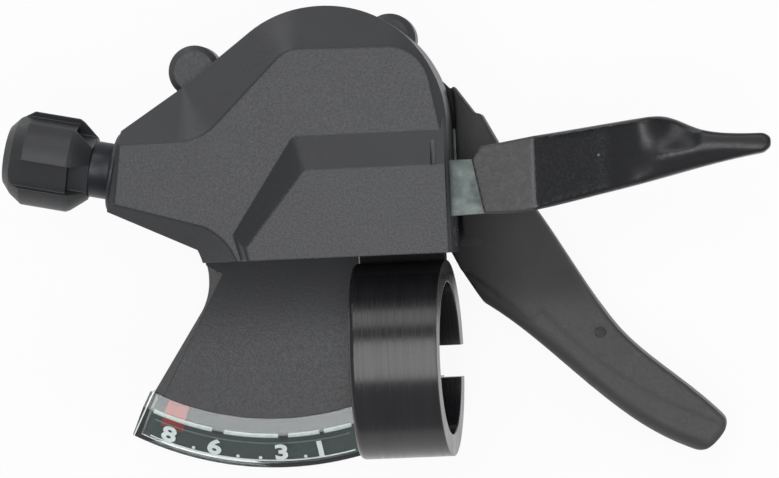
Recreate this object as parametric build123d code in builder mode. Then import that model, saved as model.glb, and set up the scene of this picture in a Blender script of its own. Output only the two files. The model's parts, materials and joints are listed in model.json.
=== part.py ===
import os
from math import acos, atan2, cos, degrees, hypot, radians, sin, tan

from build123d import *

os.makedirs("parts", exist_ok=True)

# Handlebar clamp, bar along X through the origin
bar_d = 22.2
band_wall = 3.1
band_half = 6.2
band_near = 6.4
band_far = 8.2
slit_w = 4.7
slit_y = -0.75
lug_half = 4.6
lug_thick = 5.6
lug_drop = 7.6
clamp_bolt_r = 2.5
clamp_head_r = 4.2
clamp_head_h = 4.4
foot_left = -5.5
foot_right = 7.0
foot_back = 21.0
foot_top = -2.0
band_head_r = 3.2

# Heights of the stack, from the bar axis
top_z = 11.0
block_rise = 1.8
wall = 1.4
plate_top = -5.0
plate_t = 2.0
lever_gap = 0.2
lever_t = 1.8
ratchet_t = 1.4
spool_h = 5.7
cable_z = 1.8
trigger_z = 6.2
trigger_t = 1.6

# Clearances
run_fit = 0.05
thread_fit = 0.05
swing_gap = 0.3

# Main axle and spool
axle_x = -9.25
axle_y = 35.5
axle_r = 3.5
axle_head_r = 3.9
cable_r = 12.8
groove_depth = 0.6
flange_lip = 0.4
groove_h = 2.8
ratchet_r = 11.1
tooth_h = 1.3
tooth_count = 28
gear_count = 8
spring_in = 8.0
spring_out = 10.4

# Cover outline
side_x = 8.9
front_y = 15.3
ramp_front = 27.9
ramp_back = 34.5
dome_r = 17.9
dome_y = 33.7
slope = 45.0
slope_drop = 8.2
collar_angle = 12.0
collar_r = 5.7
collar_end = 29.2
body_end = 28.0
neck_corner = (-25.7, 16.1)
block_corner = (-21.6, front_y)
ear_r = 3.8
ear_top = 0.2
left_ear_angle = 153.8
right_ear_angle = 53.7

# Gear indicator
needle_dx = -9.85
needle_dy = -2.8
pivot_r = 1.25
drive_r = 5.05
drive_pin_r = 0.8
first_mark = -111.9
deck_z = -12.4
case_z = -18.0
back_t = 1.2
lens_in = 41.0
lens_crease = 43.5
lens_out = 48.4
lens_t = 0.9
deck_right = -6.6
deck_left_angle = -118.2
neck_right = -11.8
neck_back = 25.4
neck_taper = 6.0
waist_r = 8.5

# Release trigger
stud_r = 1.6
stud_dist = 15.8
stud_angle = -39.0

# Thumb lever
arm_angle = -17.0
arm_w = 6.4
arm_len = 22.3
guard_r = 18.65
root_top = -1.6
root_low = -8.0
paddle_top = -13.2
paddle_low = -22.0
ledge_w = 2.4
thumb_round = 2.4
crease_depth = 0.22
crease_center = (69.5, 50.65)
crease_r = 66.5
crease_start = -138.0

# Cable adjuster
adjust_r = 2.9
neck_r = 4.1
knob_r = 6.85
knob_start = 32.2
knob_end = 44.8
lobe_count = 4
lobe_turn = 67.6
flute_w = 4.4
flute_depth = 1.25
casing_r = 2.1
casing_depth = 6.5
cable_hole_r = 0.9
cap_r = 1.7
cap_sunk = 0.6


def polar(center, radius, angle):
    return (center[0] + radius * cos(radians(angle)), center[1] + radius * sin(radians(angle)))


# Values that follow from the sizes above
bar_r = bar_d / 2
band_r = bar_r + band_wall
axle = (axle_x, axle_y)
needle_axis = (axle_x + needle_dx, axle_y + needle_dy)
back_holes = [(deck_right - 2.8, 6), (deck_right - 2.8, -3)]
stud = polar(axle, stud_dist, stud_angle)
ceiling_z = top_z - wall
block_z = top_z + block_rise
bevel_start = (-26.9, 13.5)
bevel_end = (-36.9, -4.9)
bevel_long = hypot(bevel_end[0] - bevel_start[0], bevel_end[1] - bevel_start[1])
bevel_run = ((bevel_end[0] - bevel_start[0]) / bevel_long, (bevel_end[1] - bevel_start[1]) / bevel_long)
lever_low = plate_top + lever_gap
lever_top = lever_low + lever_t
ratchet_low = lever_top + lever_gap + 0.1
spool_low = ratchet_low + ratchet_t
spool_top = spool_low + spool_h
groove_r = cable_r - groove_depth
flange_r = cable_r + flange_lip
lug_low = -band_r - lug_drop
bolt_z = -band_r - lug_drop / 2 + 0.4
dome_x = side_x - dome_r
dome = (dome_x, dome_y)
left_ear = polar(dome, dome_r + ear_r - 0.2, left_ear_angle)
right_ear = polar(dome, dome_r - ear_r / 2 - 0.15, right_ear_angle)
wall_run = wall * (1 - sin(radians(slope))) / cos(radians(slope))
guide = (-cos(radians(collar_angle)), sin(radians(collar_angle)))
across = (sin(radians(collar_angle)), cos(radians(collar_angle)))
touch = (axle_x - cable_r * across[0], axle_y - cable_r * across[1])
cap_y = touch[1] - (side_x - touch[0]) * tan(radians(collar_angle))
tooth_step = 360 / tooth_count
spool_travel = tooth_step * (gear_count - 1)
axis_gap = hypot(needle_dx, needle_dy)
axis_angle = degrees(atan2(-needle_dy, -needle_dx))
half_turn = radians(spool_travel / 2)
needle_half = degrees(atan2(drive_r * sin(half_turn), axis_gap + drive_r * cos(half_turn)))
pin_angle = axis_angle - spool_travel / 2
drive_angle = axis_angle - needle_half
needle_low = spool_top + 1.0
needle_top = needle_low + 1.0
adjuster_plane = Plane(
    origin=(touch[0], touch[1], cable_z), x_dir=(across[0], across[1], 0), z_dir=(guide[0], guide[1], 0)
)


def along(distance):
    return (touch[0] + distance * guide[0], touch[1] + distance * guide[1])


def beside(point, distance):
    return (point[0] + distance * across[0], point[1] + distance * across[1])


def body_plan(inset):
    upper = beside(along(body_end), collar_r + 0.4)
    lower = beside(along(body_end), -collar_r)
    dome_sweep = degrees(atan2(upper[1] - dome[1], upper[0] - dome[0]))
    dome_sweep = dome_sweep - degrees(acos(dome_r / hypot(upper[0] - dome[0], upper[1] - dome[1])))
    arc_end = polar(dome, dome_r, dome_sweep)
    with BuildSketch() as plan:
        with BuildLine():
            Line((side_x, front_y), (side_x, dome_y))
            CenterArc(dome, dome_r, 0, dome_sweep)
            Polyline(arc_end, upper, lower, neck_corner, block_corner, (side_x, front_y))
        make_face()
        if inset > 0:
            offset(amount=-inset, kind=Kind.INTERSECTION)
    return plan.sketch


def plateau_plan(grow):
    back_right = (dome[0] + 0.827 * dome_r, dome[1] + 0.626 * dome_r)
    back_left = (dome[0] - 0.257 * dome_r, dome[1] + 0.648 * dome_r)
    knee = (-26.4, 32.8)
    hip = (-22.4, 19.3)
    with BuildSketch() as plan:
        with BuildLine():
            Polyline(
                (side_x - 0.3, 12.0),
                (side_x - 0.3, 30.0),
                back_right,
                back_left,
                knee,
                beside(along(body_end - 0.3), collar_r - 1.6),
                beside(along(body_end - 1.0), 1.2 - collar_r),
                hip,
                block_corner,
                (block_corner[0], 12.0),
                close=True,
            )
        make_face()
        offset(amount=grow, kind=Kind.INTERSECTION)
        fillet(plan.vertices().sort_by_distance(back_right)[0], 6 + grow)
        fillet(plan.vertices().sort_by_distance(back_left)[0], 4 + grow)
    return plan.sketch


def dome_form(inset, low, high, run):
    with BuildPart() as form:
        with BuildSketch(Plane.XY.offset(high - slope_drop)):
            add(plateau_plan(slope_drop * tan(radians(slope)) - run))
        extrude(amount=slope_drop, taper=slope)
        with BuildSketch(Plane.XY.offset(low)):
            add(body_plan(inset))
        extrude(amount=high - low, mode=Mode.INTERSECT)
        with BuildSketch(Plane.XY.offset(low)):
            add(body_plan(inset))
        extrude(amount=high - slope_drop - low)
    return form.part


def deck_plan(inset):
    low_left = polar(needle_axis, lens_out, deck_left_angle)
    with BuildSketch() as plan:
        with BuildLine():
            Polyline(
                (-34.8, 20.45),
                neck_corner,
                polar(needle_axis, lens_in, deck_left_angle),
                low_left,
                (deck_right + 4, low_left[1] - 10),
                (deck_right + 4, front_y + 1),
                (neck_right, front_y + 1),
                (neck_right, neck_back),
                (-33.0, neck_back),
                close=True,
            )
        make_face()
        fillet(plan.vertices().sort_by_distance(neck_corner)[0], waist_r)
        if inset > 0:
            offset(amount=-inset, kind=Kind.INTERSECTION)
    return plan.sketch


# Split band with foot and two lugs
with BuildPart() as clamp_band:
    with BuildSketch(Plane.YZ.offset(-band_half)):
        Circle(band_r)
    extrude(amount=band_half + band_far)
    with BuildSketch(Plane.XZ):
        with BuildLine():
            Polyline(
                (band_near, band_r),
                (band_far, -band_r),
                (band_far + 4, -band_r),
                (band_far + 4, band_r),
                close=True,
            )
        make_face()
    extrude(amount=band_r + 1, both=True, mode=Mode.SUBTRACT)
    fillet(clamp_band.edges().filter_by(GeomType.CIRCLE).group_by(Axis.X)[0], 0.8)
    with BuildSketch(Plane.XY.offset(plate_top)):
        with BuildLine():
            Polyline(
                (foot_left, bar_r - 1),
                (foot_right, bar_r - 1),
                (foot_right, foot_back),
                (foot_left, foot_back),
                close=True,
            )
        make_face()
    extrude(amount=foot_top - plate_top)
    with Locations((0, slit_y, lug_low)):
        Box(2 * lug_half, slit_w + 2 * lug_thick, lug_drop + 4, align=(Align.CENTER, Align.CENTER, Align.MIN))
    with Locations((0, slit_y, lug_low)):
        Box(40, slit_w, lug_drop + band_r, align=(Align.CENTER, Align.CENTER, Align.MIN), mode=Mode.SUBTRACT)
    with Locations((0, 0, bolt_z)):
        Cylinder(clamp_bolt_r + run_fit, 40, rotation=(90, 0, 0), mode=Mode.SUBTRACT)
    with Locations((0, slit_y + slit_w / 2 + lug_thick, bolt_z)):
        Box(7.2, 5.0, 7.2, mode=Mode.SUBTRACT)
    Cylinder(bar_r, 40, rotation=(0, 90, 0), mode=Mode.SUBTRACT)
    with Locations((foot_left + 2.6, 18.2, plate_top), (foot_right - 2.6, 18.2, plate_top)):
        Cylinder(2.0 + thread_fit, foot_top - plate_top - 0.4, align=(Align.CENTER, Align.CENTER, Align.MIN),
                 mode=Mode.SUBTRACT)
clamp_band.part.label = "clamp_band"
export_step(clamp_band.part, "parts/clamp_band.step")

# Socket head bolt across the slit
with BuildPart() as clamp_bolt:
    with BuildSketch(Plane.XZ.offset(slit_w / 2 + lug_thick - slit_y)):
        with Locations((0, bolt_z)):
            Circle(clamp_head_r)
    extrude(amount=clamp_head_h)
    chamfer(clamp_bolt.edges().group_by(Axis.Y)[0], 0.5)
    with BuildSketch(clamp_bolt.faces().sort_by(Axis.Y)[0]):
        RegularPolygon(2.6, 6)
    extrude(amount=-2.6, mode=Mode.SUBTRACT)
    with BuildSketch(Plane.XZ.offset(slit_w / 2 + lug_thick - slit_y)):
        with Locations((0, bolt_z)):
            Circle(clamp_bolt_r)
    extrude(amount=-(slit_w + 2 * lug_thick + 1.0))
clamp_bolt.part.label = "clamp_bolt"
export_step(clamp_bolt.part, "parts/clamp_bolt.step")

# Square nut in the pocket of the rear lug
with BuildPart() as clamp_nut:
    with Locations((0, slit_y + slit_w / 2 + lug_thick - 1.25, bolt_z)):
        Box(7.0, 2.5, 7.0)
        Cylinder(clamp_bolt_r + thread_fit, 10, rotation=(90, 0, 0), mode=Mode.SUBTRACT)
clamp_nut.part.label = "clamp_nut"
export_step(clamp_nut.part, "parts/clamp_nut.step")

# Steel carrier plate under the mechanism
peg_r = 7.6
with BuildPart() as base_plate:
    with BuildSketch(Plane.XY.offset(plate_top - plate_t)):
        add(body_plan(0.4))
        with Locations((-44, 29)):
            Rectangle(18, 30, mode=Mode.SUBTRACT)
        with Locations((neck_right + 0.4, neck_back + 0.3)):
            Rectangle(22.4, 20, align=(Align.MAX, Align.MAX), mode=Mode.SUBTRACT)
        with Locations(left_ear, right_ear):
            Circle(ear_r - 0.2)
        with Locations(axle):
            Circle(axle_r + run_fit, mode=Mode.SUBTRACT)
        with Locations(stud):
            Circle(stud_r + run_fit, mode=Mode.SUBTRACT)
        with BuildLine(mode=Mode.PRIVATE) as peg_path:
            CenterArc(axle, peg_r, 195, 50)
        SlotArc(peg_path.edge(), 2.6, mode=Mode.SUBTRACT)
        with Locations((foot_left + 2.6, 18.2), (foot_right - 2.6, 18.2)):
            Circle(2.0 + thread_fit, mode=Mode.SUBTRACT)
        with Locations(left_ear, right_ear):
            Circle(1.5 + thread_fit, mode=Mode.SUBTRACT)
    extrude(amount=plate_t)
    with Locations((foot_left + 2.6, 18.2, plate_top - plate_t), (foot_right - 2.6, 18.2, plate_top - plate_t)):
        Cone(band_head_r + thread_fit, 2.0 + thread_fit, 1.2, align=(Align.CENTER, Align.CENTER, Align.MIN),
             mode=Mode.SUBTRACT)
    with Locations((*left_ear, plate_top - plate_t), (*right_ear, plate_top - plate_t)):
        Cone(2.8 + thread_fit, 1.5 + thread_fit, 1.3, align=(Align.CENTER, Align.CENTER, Align.MIN),
             mode=Mode.SUBTRACT)
base_plate.part.label = "base_plate"
export_step(base_plate.part, "parts/base_plate.step")

# Countersunk screws from the plate into the band foot
with BuildPart() as band_screws:
    with Locations((foot_left + 2.6, 18.2, plate_top - plate_t), (foot_right - 2.6, 18.2, plate_top - plate_t)):
        Cone(band_head_r, 2.0, 1.2, align=(Align.CENTER, Align.CENTER, Align.MIN))
        Cylinder(2.0, plate_t + foot_top - plate_top - 0.8, align=(Align.CENTER, Align.CENTER, Align.MIN))
        Box(0.8, 5.0, 1.4, mode=Mode.SUBTRACT)
band_screws.part.label = "band_screws"
export_step(band_screws.part, "parts/band_screws.step")

# Countersunk screws from the plate into the ears of the cover
with BuildPart() as cover_screws:
    with Locations((*left_ear, plate_top - plate_t), (*right_ear, plate_top - plate_t)):
        Cone(2.8, 1.5, 1.3, align=(Align.CENTER, Align.CENTER, Align.MIN))
        Cylinder(1.5, plate_t + 3.8, align=(Align.CENTER, Align.CENTER, Align.MIN))
        Box(0.7, 3.8, 1.2, mode=Mode.SUBTRACT)
cover_screws.part.label = "cover_screws"
export_step(cover_screws.part, "parts/cover_screws.step")

# Raised block with a ramp behind and a slope on the left
with BuildPart() as block:
    with BuildSketch(Plane.XY.offset(top_z - 0.6)):
        with BuildLine():
            Polyline((side_x - 0.3, front_y), (side_x - 0.3, ramp_back), (-13.7, ramp_back), (-22.9, 19.9),
                     block_corner, close=True)
        make_face()
    with BuildSketch(Plane.XY.offset(block_z)):
        with BuildLine():
            Polyline((side_x - 0.3, front_y), (side_x - 0.3, ramp_front), (-11.5, ramp_front), (-20.5, 17.0),
                     (-20.2, front_y), close=True)
        make_face()
    loft(ruled=True)
    fillet(block.edges().sort_by_distance((-12.6, (ramp_front + ramp_back) / 2, top_z))[0], 3.0)
    brow = block.edges().filter_by_position(Axis.Z, block_z - 0.01, block_z + 0.01)
    fillet(brow.filter_by(lambda edge: edge.center().Y > front_y + 0.5 and edge.center().X < side_x - 1), 0.8)

# Neck with the deck at its foot, its head ending in the slope of the dome
with BuildPart() as crown:
    with BuildSketch(Plane.XY.offset(top_z - slope_drop)):
        add(plateau_plan(slope_drop * tan(radians(slope))))
    extrude(amount=slope_drop, taper=slope)
    with Locations((0, 0, top_z - slope_drop)):
        Box(200, 200, 100, align=(Align.CENTER, Align.CENTER, Align.MAX))
with BuildPart() as neck:
    with BuildSketch(Plane.XY.offset(case_z)):
        add(deck_plan(0))
    extrude(amount=top_z - 1 - case_z, taper=neck_taper)
    add(crown.part, mode=Mode.INTERSECT)

# Cover: dome, block, collar, neck and deck in one moulding
with BuildPart() as upper_cover:
    add(dome_form(0, plate_top, top_z, 0))
    crease = upper_cover.edges().filter_by_position(Axis.Z, top_z - 0.01, top_z + 0.01)
    fillet(crease.filter_by(lambda edge: edge.center().Y > front_y + 0.5), 0.5)
    add(block.part)
    # Neck and indicator deck
    add(neck.part)
    with Locations((0, front_y, deck_z)):
        Box(120, 60, 60, align=(Align.CENTER, Align.MAX, Align.MIN), mode=Mode.SUBTRACT)
    with Locations((deck_right, front_y + 1, case_z)):
        Box(30, 60, deck_z - case_z + 1, align=(Align.MIN, Align.MAX, Align.MIN), mode=Mode.SUBTRACT)
    with BuildSketch(Plane.XY.offset(case_z)):
        with Locations(needle_axis):
            Circle(lens_out + 20)
            Circle(lens_in - 0.05, mode=Mode.SUBTRACT)
        with Locations((0, 0)):
            Rectangle(200, 100, align=(Align.CENTER, Align.MIN), mode=Mode.SUBTRACT)
    extrude(amount=deck_z - case_z, mode=Mode.SUBTRACT)
    # Bevel along the left edge of the deck
    bevel_plane = Plane(
        origin=(*bevel_start, deck_z), x_dir=(bevel_run[0], bevel_run[1], 0), z_dir=(bevel_run[1], -bevel_run[0], 0.7)
    )
    with Locations(bevel_plane.location):
        Box(60, 20, 8, align=(Align.MIN, Align.CENTER, Align.MIN), mode=Mode.SUBTRACT)
    # Narrow slot at the right end of the ramp
    with Locations((side_x - 2.3, ramp_front, block_z)):
        Box(0.7, ramp_back - ramp_front, 2.6, align=(Align.MIN, Align.MIN, Align.CENTER), mode=Mode.SUBTRACT)
    # Collar and ears
    with BuildSketch(adjuster_plane.offset(body_end - 3)):
        Circle(collar_r - 0.5)
    extrude(amount=collar_end - body_end + 3)
    with BuildSketch(adjuster_plane.offset(body_end + 0.35)):
        Circle(collar_r)
    extrude(amount=collar_end - body_end - 0.35)
    rim = upper_cover.edges().filter_by(GeomType.CIRCLE).filter_by(lambda edge: abs(edge.radius - collar_r) < 0.01)
    fillet(rim, 0.35)
    with Locations((*left_ear, plate_top), (*right_ear, plate_top)):
        Cylinder(ear_r, ear_top - 0.8 - plate_top, align=(Align.CENTER, Align.CENTER, Align.MIN))
    with Locations((*left_ear, ear_top - 0.8), (*right_ear, ear_top - 0.8)):
        Cone(ear_r, ear_r - 0.8, 0.8, align=(Align.CENTER, Align.CENTER, Align.MIN))
    # Hollows
    add(dome_form(wall, plate_top - 0.0, ceiling_z, wall_run), mode=Mode.SUBTRACT)
    with BuildSketch(Plane.XY.offset(case_z)):
        add(deck_plan(wall + 0.6))
        with Locations((0, front_y + wall)):
            Rectangle(200, 100, align=(Align.CENTER, Align.MAX), mode=Mode.SUBTRACT)
    extrude(amount=plate_top + 3 - case_z, mode=Mode.SUBTRACT)
    with BuildSketch(Plane.XY.offset(case_z)):
        add(deck_plan(wall + 0.4))
        with Locations((deck_right - wall, 0)):
            Rectangle(60, 200, align=(Align.MIN, Align.CENTER), mode=Mode.SUBTRACT)
        with Locations((0, front_y + wall)):
            Rectangle(200, 100, align=(Align.CENTER, Align.MIN), mode=Mode.SUBTRACT)
    extrude(amount=deck_z - wall - case_z, mode=Mode.SUBTRACT)
    # Bore and spring seat of the collar
    with BuildSketch(adjuster_plane.offset(10)):
        Circle(adjust_r + thread_fit)
    extrude(amount=collar_end - 9, mode=Mode.SUBTRACT)
    with BuildSketch(adjuster_plane.offset(collar_end)):
        Circle(4.7)
    extrude(amount=-3.6, mode=Mode.SUBTRACT)
    # Pivot of the needle
    with Locations((*needle_axis, ceiling_z + 0.1)):
        Cylinder(2.4, ceiling_z - needle_top - 0.1, align=(Align.CENTER, Align.CENTER, Align.MAX))
        Cylinder(pivot_r, ceiling_z - spool_top - 0.2, align=(Align.CENTER, Align.CENTER, Align.MAX))
    # Ways out for trigger, lever arm, band foot and cable
    with Locations((side_x, 17.4, trigger_z - 0.4)):
        Box(4.0, 12.6, trigger_t + 0.8, align=(Align.CENTER, Align.MIN, Align.MIN), mode=Mode.SUBTRACT)
    with Locations((side_x + 2, 23.6, plate_top)):
        Box(7.0, 22.4, lever_top - plate_top + swing_gap, align=(Align.MAX, Align.MIN, Align.MIN),
            mode=Mode.SUBTRACT)
    with Locations((foot_left - 0.3, front_y, plate_top)):
        Box(foot_right - foot_left + 0.6, 6.0, foot_top + 0.3 - plate_top, align=(Align.MIN, Align.CENTER, Align.MIN),
            mode=Mode.SUBTRACT)
    with Locations((side_x, cap_y, cable_z)):
        Cylinder(cap_r + thread_fit, 6, rotation=(0, 90, 0), mode=Mode.SUBTRACT)
        Cylinder(cap_r + 0.7 + thread_fit, 2 * cap_sunk, rotation=(0, 90, 0), mode=Mode.SUBTRACT)
    # Posts for the screws of the back plate
    with Locations(*[(x, y, case_z) for x, y in back_holes]):
        Cylinder(2.2, deck_z - case_z - wall / 2, align=(Align.CENTER, Align.CENTER, Align.MIN))
        Cylinder(1.0 + thread_fit, 3.4, align=(Align.CENTER, Align.CENTER, Align.MIN), mode=Mode.SUBTRACT)
    # Screw holes
    with Locations((*left_ear, plate_top), (*right_ear, plate_top)):
        Cylinder(1.5 + thread_fit, 4.2, align=(Align.CENTER, Align.CENTER, Align.MIN), mode=Mode.SUBTRACT)
upper_cover.part.label = "upper_cover"
export_step(upper_cover.part, "parts/upper_cover.step")


def ring_sector(points, first, last):
    with BuildPart() as sector:
        with BuildSketch(Plane(origin=(*needle_axis, 0), x_dir=(cos(radians(first)), sin(radians(first)), 0),
                               z_dir=(sin(radians(first)), -cos(radians(first)), 0))):
            with BuildLine():
                Polyline(*points, close=True)
            make_face()
        revolve(axis=Axis((*needle_axis, 0), (0, 0, 1)), revolution_arc=last - first)
    return sector.part


# Clear window round the end of the deck
lens_right_angle = -72.0
lens_z1 = deck_z - 0.2
lens_z2 = case_z + 1.8
with BuildPart() as indicator_lens:
    add(ring_sector([(lens_in, deck_z), (lens_crease, lens_z1), (lens_out, lens_z2), (lens_out, case_z),
                     (lens_in, case_z)], deck_left_angle, lens_right_angle))
    fillet(indicator_lens.edges().filter_by_position(Axis.Z, lens_z2 - 0.01, lens_z2 + 0.01), 0.2)
    add(ring_sector([(lens_in - 1, deck_z - lens_t), (lens_crease - 0.3, lens_z1 - lens_t),
                     (lens_out - lens_t, lens_z2 - 0.5), (lens_out - lens_t, case_z - 1), (lens_in - 1, case_z - 1)],
                    deck_left_angle + 1.3, lens_right_angle), mode=Mode.SUBTRACT)
    with Locations((deck_right, 0, case_z - 1)):
        Box(30, 120, 30, align=(Align.MIN, Align.CENTER, Align.MIN), mode=Mode.SUBTRACT)
indicator_lens.part.label = "indicator_lens"
export_step(indicator_lens.part, "parts/indicator_lens.step")

# Sloped scale behind the window
with BuildPart() as indicator_dial:
    add(ring_sector([(lens_crease - 0.5, lens_z1 - 2.7), (lens_out - 1.1, case_z + 0.1), (lens_out - 1.1, case_z),
                     (lens_crease - 1.9, case_z), (lens_crease - 1.9, lens_z1 - 3.6)],
                    deck_left_angle + 1.6, lens_right_angle))
    with Locations((deck_right - 0.3, 0, case_z - 1)):
        Box(30, 120, 30, align=(Align.MIN, Align.CENTER, Align.MIN), mode=Mode.SUBTRACT)
indicator_dial.part.label = "indicator_dial"
export_step(indicator_dial.part, "parts/indicator_dial.step")

# Plate that closes deck and neck from below
with BuildPart() as indicator_back:
    with BuildSketch(Plane.XY.offset(case_z - back_t)):
        add(deck_plan(0.15))
        with Locations((deck_right, 0)):
            Rectangle(60, 200, align=(Align.MIN, Align.CENTER), mode=Mode.SUBTRACT)
        with Locations(needle_axis):
            Circle(lens_out - 0.1, mode=Mode.INTERSECT)
    extrude(amount=back_t)
    with Locations(*[(x, y, case_z - back_t) for x, y in back_holes]):
        Cylinder(1.0 + thread_fit, 5, mode=Mode.SUBTRACT)
indicator_back.part.label = "indicator_back"
export_step(indicator_back.part, "parts/indicator_back.step")

# Two small screws that hold the back plate
with BuildPart() as back_screws:
    with Locations(*[(x, y, case_z - back_t) for x, y in back_holes]):
        Cylinder(1.9, 0.9, align=(Align.CENTER, Align.CENTER, Align.MAX))
        Cylinder(1.0, back_t + 3.2, align=(Align.CENTER, Align.CENTER, Align.MIN))
        with Locations((0, 0, -0.9)):
            Box(0.6, 2.8, 0.8, mode=Mode.SUBTRACT)
back_screws.part.label = "back_screws"
export_step(back_screws.part, "parts/back_screws.step")

# Gear pointer: drive arm, hub, drop web, pointer and flag
pin_far = axis_gap + drive_r
pointer_top = deck_z - wall - 0.4
pointer_low = pointer_top - 0.8
with BuildPart() as needle:
    with BuildSketch(Plane.XY.offset(needle_low)):
        with Locations(needle_axis):
            Circle(2.7)
            with Locations(Location((0, 0), drive_angle)):
                Rectangle(pin_far + 2.0, 3.8, align=(Align.MIN, Align.CENTER))
            with Locations(Location((0, 0), first_mark)):
                Rectangle(12.0, 2.2, align=(Align.MIN, Align.CENTER))
                Circle(pivot_r + run_fit, mode=Mode.SUBTRACT)
            with Locations(Location((0, 0), drive_angle)):
                with Locations((pin_far - 0.55, 0)):
                    SlotOverall(2 * drive_pin_r + 1.7, 2 * drive_pin_r + 0.2, mode=Mode.SUBTRACT)
    extrude(amount=needle_top - needle_low)
    with Locations(Location((*needle_axis, pointer_low), first_mark)):
        with Locations((10.4, 0, 0)):
            Box(1.6, 1.6, needle_top - pointer_low, align=(Align.MIN, Align.CENTER, Align.MIN))
    with BuildSketch(Plane((*needle_axis, pointer_low)) * Rotation(0, 0, first_mark)):
        with BuildLine():
            Polyline((11.2, 0), (18.0, 2.0), (33.0, 2.0), (lens_in + 1, 0))
        trace(line_width=1.2)
    extrude(amount=pointer_top - pointer_low)
    add(ring_sector([(lens_in - 0.4, pointer_top), (lens_crease - 0.4, pointer_top),
                     (lens_crease + 1.5, pointer_top - 1.4), (lens_crease + 1.5, pointer_top - 1.8),
                     (lens_crease - 0.6, pointer_low), (lens_in - 0.4, pointer_low)],
                    first_mark - 2.2, first_mark + 2.2))
needle.part.label = "needle"
export_step(needle.part, "parts/needle.step")

# Push-on ring that keeps the needle on its pivot
with BuildPart() as needle_clip:
    with Locations((*needle_axis, spool_top + 0.35)):
        Cylinder(2.3, 0.5, align=(Align.CENTER, Align.CENTER, Align.MIN))
        Cylinder(pivot_r, 3, mode=Mode.SUBTRACT)
needle_clip.part.label = "needle_clip"
export_step(needle_clip.part, "parts/needle_clip.step")

# Shouldered axle through plate, lever and spool
cup_low = plate_top - plate_t - 5.0
with BuildPart() as main_axle:
    with Locations((*axle, cup_low)):
        Cylinder(axle_r, spool_top + 0.1 - cup_low, align=(Align.CENTER, Align.CENTER, Align.MIN))
    with Locations((*axle, spool_top + 0.1)):
        Cylinder(axle_head_r, 0.5, align=(Align.CENTER, Align.CENTER, Align.MIN))
    with Locations((*axle, cup_low)):
        Cylinder(2.5, 3.4, align=(Align.CENTER, Align.CENTER, Align.MAX))
main_axle.part.label = "main_axle"
export_step(main_axle.part, "parts/main_axle.step")

# Nut that holds the lower cup on the axle
with BuildPart() as axle_nut:
    with BuildSketch(Plane.XY.offset(cup_low - 1.2)):
        with Locations(axle):
            RegularPolygon(4.5, 6)
            Circle(2.5 + thread_fit, mode=Mode.SUBTRACT)
    extrude(amount=-3.0)
axle_nut.part.label = "axle_nut"
export_step(axle_nut.part, "parts/axle_nut.step")

# Cup under the plate that hides the lever spring
cup_r = 10.0
with BuildPart() as lower_cover:
    with Locations((*axle, cup_low - 1.2)):
        Cylinder(cup_r, plate_top - plate_t - cup_low + 1.2, align=(Align.CENTER, Align.CENTER, Align.MIN))
    fillet(lower_cover.edges().group_by(Axis.Z)[0], 1.6)
    with Locations((*axle, cup_low)):
        Cylinder(cup_r - 1.0, 20, align=(Align.CENTER, Align.CENTER, Align.MIN), mode=Mode.SUBTRACT)
    with Locations((*axle, cup_low)):
        Cylinder(2.5 + thread_fit, 10, mode=Mode.SUBTRACT)
lower_cover.part.label = "lower_cover"
export_step(lower_cover.part, "parts/lower_cover.step")

# Return spring of the thumb lever round the axle
with BuildPart() as lever_spring:
    with Locations((*axle, cup_low + 0.2)):
        Cylinder(6.4, 4.6, align=(Align.CENTER, Align.CENTER, Align.MIN))
        Cylinder(5.2, 20, mode=Mode.SUBTRACT)
lever_spring.part.label = "lever_spring"
export_step(lever_spring.part, "parts/lever_spring.step")

# Cable spool with groove, spring pocket, square boss and needle pin
boss_r = 6.6
with BuildPart() as spool:
    with BuildSketch(Plane.XZ):
        groove_low = cable_z - groove_h / 2
        groove_top = cable_z + groove_h / 2
        with BuildLine():
            Polyline(
                (axle_r + run_fit, ratchet_low),
                (boss_r, ratchet_low),
                (boss_r, spool_low),
                (flange_r, spool_low),
                (flange_r, groove_low),
                (groove_r, groove_low + 0.6),
                (groove_r, groove_top - 0.6),
                (flange_r, groove_top),
                (flange_r, spool_top),
                (spring_out + 0.6, spool_top),
                (spring_out + 0.6, spool_low + 1.6),
                (spring_in - 0.6, spool_low + 1.6),
                (spring_in - 0.6, spool_top),
                (axle_r + run_fit, spool_top),
                close=True,
            )
        make_face()
    revolve(axis=Axis.Z)
    for side in (0, 90, 180, 270):
        with Locations(Location((0, 0, ratchet_low), side)):
            with Locations((boss_r - 0.7, 0, 0)):
                Box(3, 12, ratchet_t, align=(Align.MIN, Align.CENTER, Align.MIN), mode=Mode.SUBTRACT)
    with Locations((*polar((0, 0), drive_r, pin_angle), spool_top - 1)):
        Cylinder(drive_pin_r, needle_top - spool_top + 0.9, align=(Align.CENTER, Align.CENTER, Align.MIN))
    with Locations(Location((0, 0, cable_z), -90 - collar_angle + 8)):
        with Locations((cable_r, 0, 0)):
            Cylinder(2.2, 4.6, align=(Align.CENTER, Align.CENTER, Align.CENTER), mode=Mode.SUBTRACT)
spool.part.position = (*axle, 0)
spool.part.label = "spool"
export_step(spool.part, "parts/spool.step")

# Saw-toothed wheel under the spool
with BuildPart() as ratchet_wheel:
    with BuildSketch(Plane.XY.offset(ratchet_low)):
        with BuildLine():
            teeth = []
            for tooth in range(tooth_count):
                teeth.append(polar(axle, ratchet_r, tooth * tooth_step))
                teeth.append(polar(axle, ratchet_r - tooth_h, tooth * tooth_step + 0.5))
                teeth.append(polar(axle, ratchet_r - tooth_h, tooth * tooth_step + 0.25 * tooth_step))
            Polyline(*teeth, close=True)
        make_face()
        with Locations(axle):
            Circle(boss_r + run_fit, mode=Mode.SUBTRACT)
    extrude(amount=ratchet_t)
ratchet_wheel.part.label = "ratchet_wheel"
export_step(ratchet_wheel.part, "parts/ratchet_wheel.step")

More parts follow.
